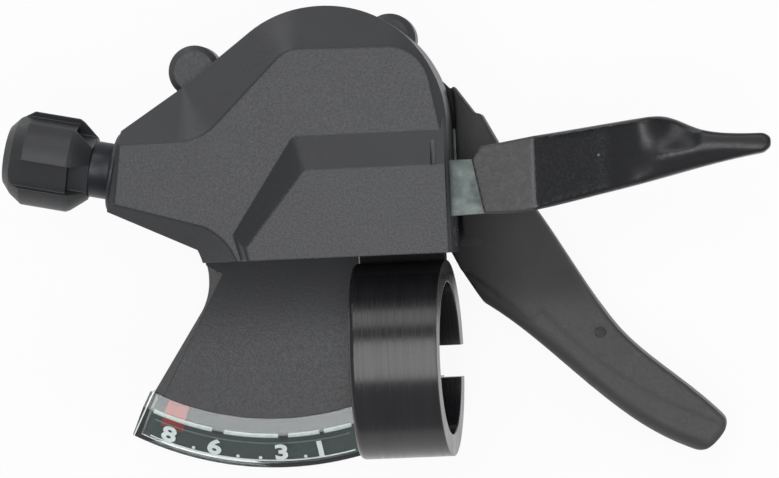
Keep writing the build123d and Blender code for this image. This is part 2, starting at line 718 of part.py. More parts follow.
# Coil that winds the spool back
with BuildPart() as spool_spring:
    with Locations((*axle, spool_low + 2.0)):
        Cylinder(spring_out, spool_top - spool_low - 2.4, align=(Align.CENTER, Align.CENTER, Align.MIN))
        Cylinder(spring_in, 20, mode=Mode.SUBTRACT)
spool_spring.part.label = "spool_spring"
export_step(spool_spring.part, "parts/spool_spring.step")

# Steel plate of the thumb lever with arm and pawl ear
feed_r = 12.8
feed_angle = 110.0
feed_axis = polar(axle, feed_r, feed_angle)
feed_pin_r = 0.8
with BuildPart() as lever_plate:
    with BuildSketch(Plane.XY.offset(lever_low)):
        with Locations(axle):
            Circle(10.2)
        with Locations(Location(axle, arm_angle)):
            Rectangle(arm_len, arm_w, align=(Align.MIN, Align.CENTER))
        with Locations(Location(axle, feed_angle)):
            Rectangle(feed_r, 3.0, align=(Align.MIN, Align.CENTER))
        with Locations(feed_axis):
            Circle(1.5)
            Circle(feed_pin_r + run_fit, mode=Mode.SUBTRACT)
        with Locations(axle):
            Circle(axle_r + run_fit, mode=Mode.SUBTRACT)
        with Locations(polar(axle, peg_r, 201)):
            Circle(0.9 + run_fit, mode=Mode.SUBTRACT)
    extrude(amount=lever_t)
lever_plate.part.label = "lever_plate"
export_step(lever_plate.part, "parts/lever_plate.step")

# Peg of the lever that winds its spring
with BuildPart() as spring_peg:
    with Locations((*polar(axle, peg_r, 201), lever_top)):
        Cylinder(0.9, lever_t + lever_gap + plate_t + 2.4, align=(Align.CENTER, Align.CENTER, Align.MAX))
spring_peg.part.label = "spring_peg"
export_step(spring_peg.part, "parts/spring_peg.step")

# Pin of the feed pawl on the lever plate
with BuildPart() as feed_pawl_pin:
    with Locations((*feed_axis, lever_low)):
        Cylinder(feed_pin_r, lever_t + ratchet_t + 0.2, align=(Align.CENTER, Align.CENTER, Align.MIN))
feed_pawl_pin.part.label = "feed_pawl_pin"
export_step(feed_pawl_pin.part, "parts/feed_pawl_pin.step")

# Pawl that feeds the wheel
pawl_in = ratchet_r + 0.35
with BuildPart() as feed_pawl:
    with BuildSketch(Plane.XY.offset(ratchet_low + 0.05)):
        with BuildLine():
            inner = CenterArc(axle, pawl_in, feed_angle, 30)
            outer = CenterArc(axle, pawl_in + 1.5, feed_angle, 27)
            Line(inner @ 1, outer @ 1)
            Line(inner @ 0, outer @ 0)
        make_face()
        with Locations(feed_axis):
            Circle(1.4)
            Circle(feed_pin_r + run_fit, mode=Mode.SUBTRACT)
    extrude(amount=ratchet_t - 0.1)
feed_pawl.part.label = "feed_pawl"
export_step(feed_pawl.part, "parts/feed_pawl.step")

# Stud shared by trigger and holding pawl
with BuildPart() as trigger_stud:
    with Locations((*stud, plate_top - plate_t)):
        Cylinder(stud_r, trigger_z + trigger_t + 0.8 - plate_top + plate_t,
                 align=(Align.CENTER, Align.CENTER, Align.MIN))
trigger_stud.part.label = "trigger_stud"
export_step(trigger_stud.part, "parts/trigger_stud.step")

# Clip on top of the stud
with BuildPart() as trigger_clip:
    with Locations((*stud, trigger_z + trigger_t + 0.15)):
        Cylinder(3.0, 0.5, align=(Align.CENTER, Align.CENTER, Align.MIN))
        Cylinder(stud_r, 4, mode=Mode.SUBTRACT)
trigger_clip.part.label = "trigger_clip"
export_step(trigger_clip.part, "parts/trigger_clip.step")

# Pawl that holds the wheel, with a tail for the trigger
hold_tip = polar(axle, pawl_in, -6)
with BuildPart() as holding_pawl:
    with BuildSketch(Plane.XY.offset(ratchet_low + 0.05)):
        with Locations(stud):
            Circle(2.6)
        with BuildLine():
            Polyline(
                (stud[0] - 0.4, stud[1]),
                (stud[0] + 2.6, stud[1]),
                (hold_tip[0] + 2.4, hold_tip[1] - 0.4),
                (hold_tip[0] + 1.6, hold_tip[1] + 1.4),
                hold_tip,
                (hold_tip[0] + 0.45, hold_tip[1] - 3.2),
                close=True,
            )
        make_face()
        with Locations((stud[0], stud[1] - 1.6)):
            Rectangle(4.0, 1.7, align=(Align.MIN, Align.CENTER))
        with Locations(stud):
            Circle(stud_r + run_fit, mode=Mode.SUBTRACT)
    extrude(amount=ratchet_t - 0.1)
holding_pawl.part.label = "holding_pawl"
export_step(holding_pawl.part, "parts/holding_pawl.step")

# Coil of the trigger round the stud
with BuildPart() as trigger_spring:
    with Locations((*stud, spool_low + 0.1)):
        Cylinder(2.3, trigger_z - spool_low - 0.3, align=(Align.CENTER, Align.CENTER, Align.MIN))
        Cylinder(stud_r + 0.15, 30, mode=Mode.SUBTRACT)
trigger_spring.part.label = "trigger_spring"
export_step(trigger_spring.part, "parts/trigger_spring.step")

# Zinc-plated strip of the trigger with a leg down to the pawl
with BuildPart() as trigger_plate:
    with BuildSketch(Plane.XY.offset(trigger_z)):
        with Locations(stud):
            Circle(3.3)
        with BuildLine():
            Polyline(
                (stud[0] - 1.0, 28.6),
                (12.6, 28.5),
                (20.4, 28.6),
                (20.4, 22.6),
                (13.6, 20.6),
                (6.4, 20.4),
                (stud[0] - 1.0, 22.6),
                close=True,
            )
        make_face()
        with Locations(stud):
            Circle(stud_r + run_fit, mode=Mode.SUBTRACT)
    extrude(amount=trigger_t)
    with Locations((stud[0] + 2.7, stud[1] - 0.65, ratchet_low + 0.1)):
        Box(1.2, 2.0, trigger_z - ratchet_low, align=(Align.MIN, Align.MIN, Align.MIN))
trigger_plate.part.label = "trigger_plate"
export_step(trigger_plate.part, "parts/trigger_plate.step")

# Finger piece moulded on the strip
grip_low = trigger_z - 1.8
grip_top = trigger_z + trigger_t + 2.0
pad_top = grip_top + 5.4
with BuildPart() as trigger_grip:
    with BuildSketch(Plane.XY):
        with BuildLine():
            root = Polyline((13.7, 20.6), (12.2, 28.4), (13.4, 30.2), (21.3, 31.4), (38.3, 33.4))
            nose = Spline(root @ 1, (40.3, 33.2), (44.9, 31.2), (48.5, 30.5), (53.9, 30.3))
            tip = Polyline(nose @ 1, (54.9, 29.6), (54.8, 28.3), (53.8, 27.5))
            Spline(tip @ 1, (45.2, 25.9), (37.5, 24.1), (29.4, 22.4), (21.7, 20.95), root @ 0)
        make_face()
    extrude(amount=pad_top + 2)
    with BuildSketch(Plane.XZ):
        with BuildLine():
            Polyline(
                (10.0, grip_low),
                (21.0, grip_low),
                (37.0, grip_low + 3.6),
                (60.0, grip_low + 2.6),
                (60.0, pad_top),
                (39.5, pad_top),
                (32.0, grip_top + 2.4),
                (21.0, grip_top),
                (10.0, grip_top),
                close=True,
            )
        profile = make_face()
        fillet(profile.vertices().sort_by_distance((32.0, 0, grip_top + 2.4))[0], 8)
        fillet(profile.vertices().sort_by_distance((39.5, 0, pad_top))[0], 3)
    extrude(amount=-60, mode=Mode.INTERSECT)
    # Hollow for the finger
    with BuildLine() as hollow:
        Spline((30.0, 31.0, pad_top + 6.8), (35.5, 34.0, pad_top + 3.9), (40.0, 36.0, pad_top + 1.6),
               (46.0, 36.9, pad_top - 0.4), (60.0, 36.9, pad_top - 0.8))
    with BuildSketch(Plane(origin=hollow.line @ 0, z_dir=hollow.line % 0)):
        Circle(8.2)
    sweep(mode=Mode.SUBTRACT)
    crown = trigger_grip.edges().filter_by_position(Axis.Z, pad_top - 0.01, pad_top + 0.01)
    fillet(crown.filter_by(lambda edge: edge.length > 8.3 and edge.center().X > 40 and edge.center().Y > 27), 0.3)
    crown = trigger_grip.edges().filter_by(lambda edge: edge.center().Z > grip_top - 0.1)
    fillet(crown.filter_by(GeomType.BSPLINE).filter_by(lambda edge: edge.center().Y < 27), 0.5)
    crown = trigger_grip.edges().filter_by(lambda edge: edge.center().Z > grip_top - 0.1)
    fillet(crown.filter_by(GeomType.LINE).filter_by(lambda edge: edge.center().Y > 30.5 and edge.length > 5
                                                    and edge.center().X < 36), 0.5)
    with BuildSketch(Plane.XY.offset(trigger_z)):
        with BuildLine():
            Polyline((8.0, 28.5), (20.4, 28.6), (20.4, 22.6), (13.6, 20.6), (8.0, 20.4), close=True)
        make_face()
    extrude(amount=trigger_t, mode=Mode.SUBTRACT)
trigger_grip.part.label = "trigger_grip"
export_step(trigger_grip.part, "parts/trigger_grip.step")

# Thumb lever: guard beside the cover, sloped root, paddle under the bar
with BuildPart() as thumb_lever:
    with BuildSketch(Plane.XY.offset(paddle_low)):
        with BuildLine():
            guard = CenterArc(axle, guard_r, -7.0, 20.4)
            back = Polyline(guard @ 1, polar(axle, guard_r + 2.7, -0.5), polar(axle, guard_r + 3.6, -0.5),
                            polar(axle, guard_r + 6.5, -11.0), (20.3, 21.1))
            outer = Spline(back @ 1, (27.1, 9.1), (31.7, 2.4), (37.9, -3.3), (45.9, -10.4))
            tip = Spline(outer @ 1, (46.5, -11.5), (44.9, -14.3), (43.4, -15.4), (42.0, -15.5))
            inner = Spline(tip @ 1, (34.9, -11.9), (26.4, -5.1), (11.5, 7.6))
            Polyline(inner @ 1, (10.7, 8.9), (side_x - 0.3, 12.5), (side_x - 2.0, 16.4), (side_x + 0.36, 16.4), guard @ 0)
        make_face()
    extrude(amount=root_top - paddle_low)
    with BuildSketch(Plane.YZ):
        with BuildLine():
            Polyline(
                (50.0, root_top),
                (25.0, root_top),
                (9.0, paddle_top),
                (-20.0, paddle_top),
                (-20.0, paddle_low),
                (6.0, paddle_low),
                (22.0, root_low),
                (50.0, root_low),
                close=True,
            )
        make_face()
    extrude(amount=60, mode=Mode.INTERSECT)
    fillet(thumb_lever.edges().filter_by(Axis.X).filter_by_position(Axis.Y, 8.9, 9.1), 14)
    # Ledge that reaches under the carrier plate
    with BuildSketch(Plane.XY.offset(root_low - 0.6)):
        with BuildLine():
            ledge = CenterArc(axle, guard_r - ledge_w, -7.0, 31.0)
            Polyline(ledge @ 1, polar(axle, guard_r + 2.7, -0.5), (side_x + 2.5, 16.4), (side_x - 2.0, 16.4), ledge @ 0)
        make_face()
    extrude(amount=plate_top - plate_t - 0.4 - root_low + 0.6)
    # Rounded thumb side of the paddle
    with BuildLine() as thumb_side:
        Spline((7.5, 11.0, paddle_top + 1.5), (11.5, 7.6, paddle_top + 0.37), (26.4, -5.1, paddle_top),
               (34.9, -11.9, paddle_top), (42.0, -15.5, paddle_top), (47.0, -17.4, paddle_top))
    with BuildSketch(Plane(origin=thumb_side.line @ 0, x_dir=(0, 0, 1), z_dir=thumb_side.line % 0)):
        with Locations((-thumb_round, -thumb_round)):
            Rectangle(thumb_round + 2, thumb_round + 4, align=(Align.MIN, Align.MIN))
            Circle(thumb_round, mode=Mode.SUBTRACT)
    sweep(mode=Mode.SUBTRACT)
    # Shallow crease along the paddle, on an arc
    with BuildSketch(Plane(origin=(*crease_center, paddle_top), x_dir=(*polar((0, 0), 1, crease_start), 0),
                           z_dir=(*polar((0, 0), 1, crease_start - 90), 0))):
        with BuildLine():
            Polyline((crease_r, -crease_depth), (crease_r + 4.5, 0), (crease_r + 4.5, 1), (crease_r, 1), close=True)
        make_face()
    revolve(axis=Axis((*crease_center, 0), (0, 0, 1)), revolution_arc=40, mode=Mode.SUBTRACT)
    with Locations((28.6, 2.5, paddle_top)):
        Cylinder(0.7, 0.8, mode=Mode.SUBTRACT)
    with BuildSketch(Plane.XY.offset(lever_low)):
        with Locations(Location(axle, arm_angle)):
            Rectangle(arm_len, arm_w, align=(Align.MIN, Align.CENTER))
    extrude(amount=lever_t, mode=Mode.SUBTRACT)
thumb_lever.part.label = "thumb_lever"
export_step(thumb_lever.part, "parts/thumb_lever.step")

# Hollow adjusting bolt with casing seat
with BuildPart() as adjuster_bolt:
    with BuildSketch(adjuster_plane.offset(collar_end - 8)):
        Circle(adjust_r)
    extrude(amount=knob_end - 0.6 - collar_end + 8)
    with BuildSketch(adjuster_plane.offset(collar_end + 0.2)):
        Circle(neck_r)
    extrude(amount=knob_start - collar_end - 0.2)
    with BuildSketch(adjuster_plane.offset(collar_end - 10)):
        Circle(cable_hole_r)
    extrude(amount=30, mode=Mode.SUBTRACT)
    with BuildSketch(adjuster_plane.offset(knob_end)):
        Circle(casing_r)
    extrude(amount=-casing_depth, mode=Mode.SUBTRACT)
adjuster_bolt.part.label = "adjuster_bolt"
export_step(adjuster_bolt.part, "parts/adjuster_bolt.step")

# Lobed knob on the bolt
with BuildPart() as adjuster_knob:
    with BuildSketch(Plane.XZ):
        with BuildLine():
            Polyline(
                (adjust_r, knob_start),
                (neck_r + 0.5, knob_start),
                (knob_r - 0.3, knob_start + 2.4),
                (knob_r, knob_start + 3.0),
                (knob_r, knob_end - 3.0),
                (knob_r - 1.2, knob_end - 1.2),
                (knob_r - 2.6, knob_end),
                (casing_r, knob_end),
                (casing_r, knob_end - 0.6),
                (adjust_r, knob_end - 0.6),
                close=True,
            )
        make_face()
    revolve(axis=Axis.Z)
    with PolarLocations(knob_r - flute_depth, lobe_count, start_angle=lobe_turn):
        Box(4, flute_w, 200, align=(Align.MIN, Align.CENTER, Align.CENTER), mode=Mode.SUBTRACT)
    with Locations((0, 0, knob_start + 2.9)):
        with PolarLocations(neck_r, lobe_count, start_angle=lobe_turn):
            Box(6, flute_w, 20, align=(Align.MIN, Align.CENTER, Align.MAX), mode=Mode.SUBTRACT)
adjuster_knob.part.position = (0, 0, 0)
knob = adjuster_plane.location * adjuster_knob.part
knob.label = "adjuster_knob"
export_step(knob, "parts/adjuster_knob.step")

# Spring in the collar that steadies the bolt
with BuildPart() as adjuster_spring:
    with BuildSketch(adjuster_plane.offset(collar_end - 3.5)):
        Circle(4.3)
        Circle(adjust_r + 0.3, mode=Mode.SUBTRACT)
    extrude(amount=3.5)
adjuster_spring.part.label = "adjuster_spring"
export_step(adjuster_spring.part, "parts/adjuster_spring.step")

# Plug of the cable entry in the side wall
with BuildPart() as cable_cap:
    with Locations((side_x - cap_sunk, cap_y, cable_z)):
        Cylinder(cap_r + 0.7, 0.8, rotation=(0, 90, 0), align=(Align.CENTER, Align.CENTER, Align.MIN))
        Cylinder(cap_r, 1.8, rotation=(0, 90, 0), align=(Align.CENTER, Align.CENTER, Align.MAX))
        with Locations((0.8, 0, 0)):
            Box(1.0, 0.7, 3.4, mode=Mode.SUBTRACT)
cable_cap.part.label = "cable_cap"
export_step(cable_cap.part, "parts/cable_cap.step")
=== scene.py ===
"""Looks of a bicycle trigger gear shifter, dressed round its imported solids."""

import json
import logging
import math
from dataclasses import dataclass, field
from enum import Enum

import bmesh
import bpy
from mathutils import Matrix, Vector

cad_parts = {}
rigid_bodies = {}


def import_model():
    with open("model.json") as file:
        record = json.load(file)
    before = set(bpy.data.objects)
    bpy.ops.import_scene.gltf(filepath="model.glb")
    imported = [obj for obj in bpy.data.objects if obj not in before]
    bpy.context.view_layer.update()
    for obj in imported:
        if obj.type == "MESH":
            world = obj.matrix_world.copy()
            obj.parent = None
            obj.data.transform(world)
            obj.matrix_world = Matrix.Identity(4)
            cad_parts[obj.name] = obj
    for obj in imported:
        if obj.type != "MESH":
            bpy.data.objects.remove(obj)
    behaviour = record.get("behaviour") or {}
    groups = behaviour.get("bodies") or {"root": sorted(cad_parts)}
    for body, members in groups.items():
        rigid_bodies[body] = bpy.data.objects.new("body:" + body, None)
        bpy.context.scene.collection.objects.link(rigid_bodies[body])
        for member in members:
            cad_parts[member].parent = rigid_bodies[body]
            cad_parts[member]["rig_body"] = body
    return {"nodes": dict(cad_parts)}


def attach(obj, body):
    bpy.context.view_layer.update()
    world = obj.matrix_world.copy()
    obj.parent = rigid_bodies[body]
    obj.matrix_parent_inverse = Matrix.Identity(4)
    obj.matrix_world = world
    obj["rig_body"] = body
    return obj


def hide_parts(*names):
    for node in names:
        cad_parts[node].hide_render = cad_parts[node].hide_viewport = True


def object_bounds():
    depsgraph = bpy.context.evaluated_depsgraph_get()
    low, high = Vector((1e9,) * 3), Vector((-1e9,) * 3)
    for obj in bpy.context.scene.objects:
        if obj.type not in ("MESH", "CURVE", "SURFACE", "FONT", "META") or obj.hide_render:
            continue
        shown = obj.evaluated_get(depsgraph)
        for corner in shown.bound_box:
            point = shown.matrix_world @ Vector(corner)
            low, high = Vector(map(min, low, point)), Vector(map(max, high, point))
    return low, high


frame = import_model()
CAD_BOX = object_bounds()

LOG = logging.getLogger("shifter")
MM = 0.001

# Sockets of the Mix node that carry colour.
MIX_FIRST, MIX_LAST, MIX_RESULT = 6, 7, 2
# Values that most of a noise lies between, and where a cloudy tone starts and ends in it.
NOISE_LOW, NOISE_HIGH = 0.3, 0.7
CLOUD_LOW, CLOUD_HIGH, MOTTLE_HIGH = 0.35, 0.65, 0.7
# Cosine between a face and its eased normal, off an edge and on it.
OFF_EDGE, ON_EDGE = 0.995, 0.85
PLASTIC_IOR, PAINT_IOR, WINDOW_IOR = 1.5, 1.52, 1.49

Colour = tuple[float, float, float]
Point = tuple[float, float, float]
Plan = tuple[float, float]
Line = tuple[Plan, ...]
Socket = bpy.types.NodeSocket
Node = bpy.types.Node
Mesh = bpy.types.Mesh
Material = bpy.types.Material
Feeds = dict[str | int, object]


def srgb(red: int, green: int, blue: int) -> Colour:
    """Turn display values from 0 to 255 into linear colour.

    Args:
        red: Red as a screen shows it.
        green: Green as a screen shows it.
        blue: Blue as a screen shows it.

    Returns:
        The three linear values from 0 to 1.
    """
    def linear(value: int) -> float:
        """Linear value of one channel."""
        share = value / 255
        return share / 12.92 if share <= 0.04045 else ((share + 0.055) / 1.055) ** 2.4

    return linear(red), linear(green), linear(blue)


def scaled(tone: Colour, factor: float) -> Colour:
    """A colour made lighter or darker by a factor."""
    return tuple(channel * factor for channel in tone)


def polar(centre: Plan, radius: float, angle: float) -> Plan:
    """Point in plan at a radius and an angle in degrees round a centre.

    Args:
        centre: The centre in plan.
        radius: Distance from the centre.
        angle: Angle from +X in degrees.

    Returns:
        The point in plan, in the units of the centre.
    """
    turn = math.radians(angle)
    return centre[0] + radius * math.cos(turn), centre[1] + radius * math.sin(turn)


def ramp(value: float, length: float) -> float:
    """Share of a length that a value reaches, from 0 to 1."""
    return min(max(value / length, 0.0), 1.0)


def along(line: Line, x: float) -> float:
    """Value of a line at an X, straight between its points and level past its ends.

    Args:
        line: Points of X and value, in order of X.
        x: Where the value is wanted.

    Returns:
        The value.
    """
    for (x0, y0), (x1, y1) in zip(line, line[1:]):
        if x <= x1:
            return y0 + (y1 - y0) * (max(x, x0) - x0) / (x1 - x0)
    return line[-1][1]


class Rides(Enum):
    """Bodies of the mechanism that new pieces move with."""

    COVER = "body"
    LEVER = "main_lever"
    TRIGGER = "trigger"


class SpringForm(Enum):
    """How a spring is wound."""

    COIL = "coil"
    CLOCK = "clock"


class Nodes:
    """A node tree, with short calls to add nodes and to feed them."""

    def __init__(self, tree: bpy.types.NodeTree) -> None:
        """Take over a tree."""
        self.tree = tree

    def node(self, kind: str, feeds: Feeds | None = None, **settings: object) -> Node:
        """Add a node.

        Args:
            kind: Type of the node.
            feeds: What goes into its inputs, each a value or a socket to link.
            settings: The node's own options.

        Returns:
            The new node.
        """
        made = self.tree.nodes.new(kind)
        for key, value in settings.items():
            setattr(made, key, value)
        self.feed(made, feeds or {})
        return made

    def feed(self, target: Node, feeds: Feeds) -> None:
        """Put a value, or a link from a socket, into each of a node's inputs that is named.

        Args:
            target: The node.
            feeds: What goes into its inputs, each a value or a socket to link.
        """
        for key, value in feeds.items():
            if isinstance(value, Socket):
                self.join(value, target.inputs[key])
            else:
                target.inputs[key].default_value = value

    def join(self, source: Socket, target: Socket) -> None:
        """Link two sockets."""
        self.tree.links.new(source, target)


class Shader(Nodes):
    """One material's node tree, with short calls for the nodes that finishes share."""

    def __init__(self, name: str) -> None:
        """Start an empty material with one Principled shader.

        Args:
            name: Name of the material.
        """
        self.material = bpy.data.materials.new(name)
        self.material.use_nodes = True
        super().__init__(self.material.node_tree)
        self.tree.nodes.clear()
        self.output = self.node("ShaderNodeOutputMaterial")
        self.skin = self.node("ShaderNodeBsdfPrincipled")
        self.surface(self.skin.outputs["BSDF"])
        self.place = self.node("ShaderNodeTexCoord").outputs["Object"]

    def wear(self, **feeds: object) -> None:
        """Feed inputs of the shader, words joined by _, each with a value or a socket to link."""
        names = {key: key.replace("_", " ").title().replace("Ior", "IOR") for key in feeds}
        self.feed(self.skin, {names[key]: value for key, value in feeds.items()})

    def surface(self, source: Socket) -> None:
        """Show a shader as the surface."""
        self.join(source, self.output.inputs["Surface"])

    def stretched(self, scale: Point) -> Socket:
        """Object coordinates, stretched along each axis."""
        feeds = {"Scale": scale, "Vector": self.place}
        return self.node("ShaderNodeMapping", feeds).outputs["Vector"]

    def noise(self, scale: float, detail: float, where: Socket | None = None) -> Socket:
        """Noise from 0 to 1.

        Args:
            scale: Features per metre.
            detail: How many finer layers are added.
            where: Place to read, or the object's own.

        Returns:
            The noise value.
        """
        feeds = {"Scale": scale, "Detail": detail, "Vector": where or self.place}
        return self.node("ShaderNodeTexNoise", feeds).outputs["Fac"]

    def span(self, value: Socket, low: float, high: float, first: float, last: float) -> Socket:
        """Map a value from low..high to first..last, held at the ends.

        Args:
            value: What is mapped.
            low: Value that gives first.
            high: Value that gives last.
            first: Result at low.
            last: Result at high.

        Returns:
            The mapped value.
        """
        feeds = {"Value": value, "From Min": low, "From Max": high, "To Min": first, "To Max": last}
        return self.node("ShaderNodeMapRange", feeds).outputs["Result"]

    def uneven(self, noise: Socket, first: float, last: float) -> Socket:
        """Value that wanders between first and last with a noise."""
        return self.span(noise, NOISE_LOW, NOISE_HIGH, first, last)

    def tint(self, share: Socket, first: Colour | Socket, last: Colour) -> Socket:
        """Mix two colours by a share.

        Args:
            share: 0 for the first colour, 1 for the last.
            first: Colour, or a socket with one.
            last: Colour.

        Returns:
            The mixed colour.
        """
        start = (*first, 1) if isinstance(first, tuple) else first
        feeds = {"Factor": share, MIX_FIRST: start, MIX_LAST: (*last, 1)}
        return self.node("ShaderNodeMix", feeds, data_type="RGBA").outputs[MIX_RESULT]

    def clouded(
        self, noise: Socket, first: Colour, last: Colour, high: float = CLOUD_HIGH
    ) -> Socket:
        """Colour that turns from first to last with a noise, last where it reaches high."""
        return self.tint(self.span(noise, CLOUD_LOW, high, 0, 1), first, last)

    def worn(self, base: Socket, rubbed: Colour, eased: Socket, share: float) -> Socket:
        """Colour that is rubbed paler on edges.

        Args:
            base: Colour on the faces.
            rubbed: Colour on the edges.
            eased: Normal with its edges eased.
            share: How far an edge takes the rubbed colour.

        Returns:
            The mixed colour.
        """
        return self.tint(self.maths("MULTIPLY", self.edges(eased), share), base, rubbed)

    def maths(self, kind: str, first: Socket, last: Socket | float) -> Socket:
        """One operation on two values.

        Args:
            kind: Name of the operation.
            first: First value.
            last: Second value, a number or a socket.

        Returns:
            The result.
        """
        return self.node("ShaderNodeMath", {0: first, 1: last}, operation=kind).outputs[0]

    def blend(self, share: Socket, first: Socket, last: Socket) -> Socket:
        """Mix two shaders by a share."""
        return self.node("ShaderNodeMixShader", {0: share, 1: first, 2: last}).outputs[0]

    def axis(self, which: str) -> Socket:
        """One coordinate of the object's place, X, Y or Z."""
        return self.node("ShaderNodeSeparateXYZ", {0: self.place}).outputs[which]

    def face(self) -> Socket:
        """Normal of the surface as it is."""
        return self.node("ShaderNodeNewGeometry").outputs["Normal"]

    def eased(self, radius: float) -> Socket:
        """Normal with sharp edges eased to a radius in metres."""
        return self.node("ShaderNodeBevel", {"Radius": radius}, samples=6).outputs["Normal"]

    def edges(self, eased: Socket) -> Socket:
        """Mask that is 1 on eased edges and 0 on faces."""
        dot = self.node("ShaderNodeVectorMath", {0: eased, 1: self.face()}, operation="DOT_PRODUCT")
        return self.span(dot.outputs["Value"], OFF_EDGE, ON_EDGE, 0, 1)

    def bump(self, height: Socket, depth: float, under: Socket, strength: float = 1.0) -> Socket:
        """Bump from a height.

        Args:
            height: Height from 0 to 1.
            depth: Depth of the relief in metres.
            under: Normal that it lies on.
            strength: Share of the effect.

        Returns:
            The bumped normal.
        """
        feeds = {"Strength": strength, "Distance": depth, "Height": height, "Normal": under}
        return self.node("ShaderNodeBump", feeds).outputs["Normal"]


@dataclass(frozen=True)
class MouldedPlastic:
    """Moulded black plastic: eroded grain, cloudy tone, paler eased edges.

    Attributes:
        grain: Features of the grain per metre.
        depth: Depth of the grain in metres.
        edge: Radius that edges are eased to, in metres.
        pit_size: Features of the pits against those of the grain.
        pit_share: Depth of the pits against that of the grain.
        cove: How fast the deck's hollow rises, nought for none.
        painted_shade_to: X in metres up to which painted shade darkens the root where the cover
            shades it, nought for none.
        painted_shade_full: Share of that length which the painted shade darkens fully.
        painted_shade_rough: What the painted shade's zone adds to the roughness.
        deck: Lowest and highest Z of the deck's face, in metres.
    """

    name: str
    tone: Colour
    rubbed: Colour
    shine: float
    grain: float = 3200.0
    depth: float = 0.000018
    edge: float = 0.00025
    pit_size: float = 0.35
    pit_share: float = 0.6
    cove: float = 0.0
    painted_shade_to: float = 0.0
    painted_shade_full: float = 0.45
    painted_shade_rough: float = 0.2
    deck: Plan = (-0.0126, -0.0122)

    def material(self) -> Material:
        """Build the material.

        Returns:
            The material, with its nodes.
        """
        made = Shader(self.name)
        eased = made.eased(self.edge)
        cloud = made.noise(scale=140, detail=3)
        grain = made.noise(scale=self.grain, detail=2)
        pits = made.noise(scale=self.grain * self.pit_size, detail=1)
        base = made.clouded(cloud, self.tone, scaled(self.tone, factor=1.14))
        rough = made.uneven(grain, first=self.shine - 0.05, last=self.shine + 0.07)
        if self.painted_shade_to:
            # Painted shade: the root is darkened, and made rougher, towards the cover that shades
            # it.
            painted_shade = made.span(made.axis("X"), self.painted_shade_to * self.painted_shade_full, self.painted_shade_to, 1, 0)
            base = made.tint(painted_shade, base, scaled(self.tone, factor=0.3))
            rough = made.maths("ADD", rough, made.maths("MULTIPLY", painted_shade, self.painted_shade_rough))
        made.wear(base_color=made.worn(base, self.rubbed, eased, share=0.5))
        made.wear(roughness=rough)
        relief = made.maths("ADD", grain, made.maths("MULTIPLY", pits, self.pit_share))
        under = made.bump(self.hollow(made), depth=1.0, under=eased) if self.cove else eased
        made.wear(normal=made.bump(relief, self.depth, under))
        made.wear(ior=PLASTIC_IOR)
        return made.material

    def hollow(self, made: Shader) -> Socket:
        """Height of the deck's shallow hollow, which rises towards the block.

        Args:
            made: The material's tree.

        Returns:
            The height in metres, nought away from the deck.
        """
        ahead = made.maths("MAXIMUM", made.axis("Y"), 0.0)
        rise = made.maths("MULTIPLY", made.maths("MULTIPLY", ahead, ahead), self.cove)
        height = made.axis("Z")
        low, high = self.deck
        above = made.maths("GREATER_THAN", height, low)
        below = made.maths("LESS_THAN", height, high)
        return made.maths("MULTIPLY", rise, made.maths("MULTIPLY", below, above))


@dataclass(frozen=True)
class TriggerPlastic:
    """Plastic of the finger piece: grained at the root, polished on the arm, satin on the pad.

    Attributes:
        arm: X in metres at which the polish sets in and is full.
        pad: X in metres at which the satin sets in and is full.
        arm_gloss: What the polish takes off the roughness on the arm.
        pad_gloss: The same on the pad.
        calm: Share of the grain that the polish leaves.
    """

    name: str
    tone: Colour
    rubbed: Colour
    polished: Colour
    arm: Plan = (0.0205, 0.0213)
    pad: Plan = (0.0295, 0.0345)
    arm_gloss: float = 0.3
    pad_gloss: float = 0.14
    calm: float = 0.03

    def material(self) -> Material:
        """Build the material.

        Returns:
            The material, with its nodes.
        """
        made = Shader(self.name)
        eased = made.eased(radius=0.0003)
        polish = made.span(made.axis("X"), *self.arm, 0, 1)
        grain = made.noise(scale=2600, detail=3)
        cloud = made.noise(scale=160, detail=3)
        base = made.clouded(cloud, self.tone, scaled(self.tone, factor=1.2))
        base = made.tint(polish, base, self.polished)
        made.wear(base_color=made.worn(base, self.rubbed, eased, share=0.5))
        rough = made.uneven(grain, first=0.42, last=0.56)
        gloss = made.span(made.axis("X"), *self.pad, self.arm_gloss, self.pad_gloss)
        made.wear(roughness=made.maths("SUBTRACT", rough, made.maths("MULTIPLY", polish, gloss)))
        relief = made.maths("MULTIPLY", grain, made.span(polish, 0, 1, 1, self.calm))
        made.wear(normal=made.bump(relief, depth=0.00004, under=eased))
        made.wear(ior=PLASTIC_IOR)
        return made.material


@dataclass(frozen=True)
class TurnedPaint:
    """Black satin coat on a turned band, with fine rings round the bar, and painted shade on the
    band's lug, which lies in shadow under the cover.

    Attributes:
        foot_painted_shade: Y in metres at which the painted shade on the band's lug sets in and is
            full.
        foot_rough: What the shaded lug adds to the roughness.
    """

    name: str
    tone: Colour
    rubbed: Colour
    foot_painted_shade: Plan = (0.0122, 0.0126)
    foot_rough: float = 0.5

    def material(self) -> Material:
        """Build the material.

        Returns:
            The material, with its nodes.
        """
        made = Shader(self.name)
        eased = made.eased(radius=0.0003)
        rings = made.noise(scale=900, detail=4, where=made.stretched((6, 0.06, 0.06)))
        wide = made.noise(scale=220, detail=2, where=made.stretched((3, 0.2, 0.2)))
        base = made.clouded(wide, self.tone, scaled(self.tone, factor=1.35))
        # Painted shade: the lug in shadow under the cover is painted far darker and made rough.
        foot_painted_shade = made.span(made.axis("Y"), *self.foot_painted_shade, 0, 1)
        base = made.tint(foot_painted_shade, base, scaled(self.tone, factor=0.25))
        made.wear(base_color=made.worn(base, self.rubbed, eased, share=0.6))
        rough = made.uneven(rings, first=0.18, last=0.3)
        made.wear(roughness=made.maths("ADD", rough, made.maths("MULTIPLY", foot_painted_shade, self.foot_rough)))
        made.wear(normal=made.bump(rings, depth=0.000012, under=eased))
        made.wear(ior=PAINT_IOR)
        return made.material


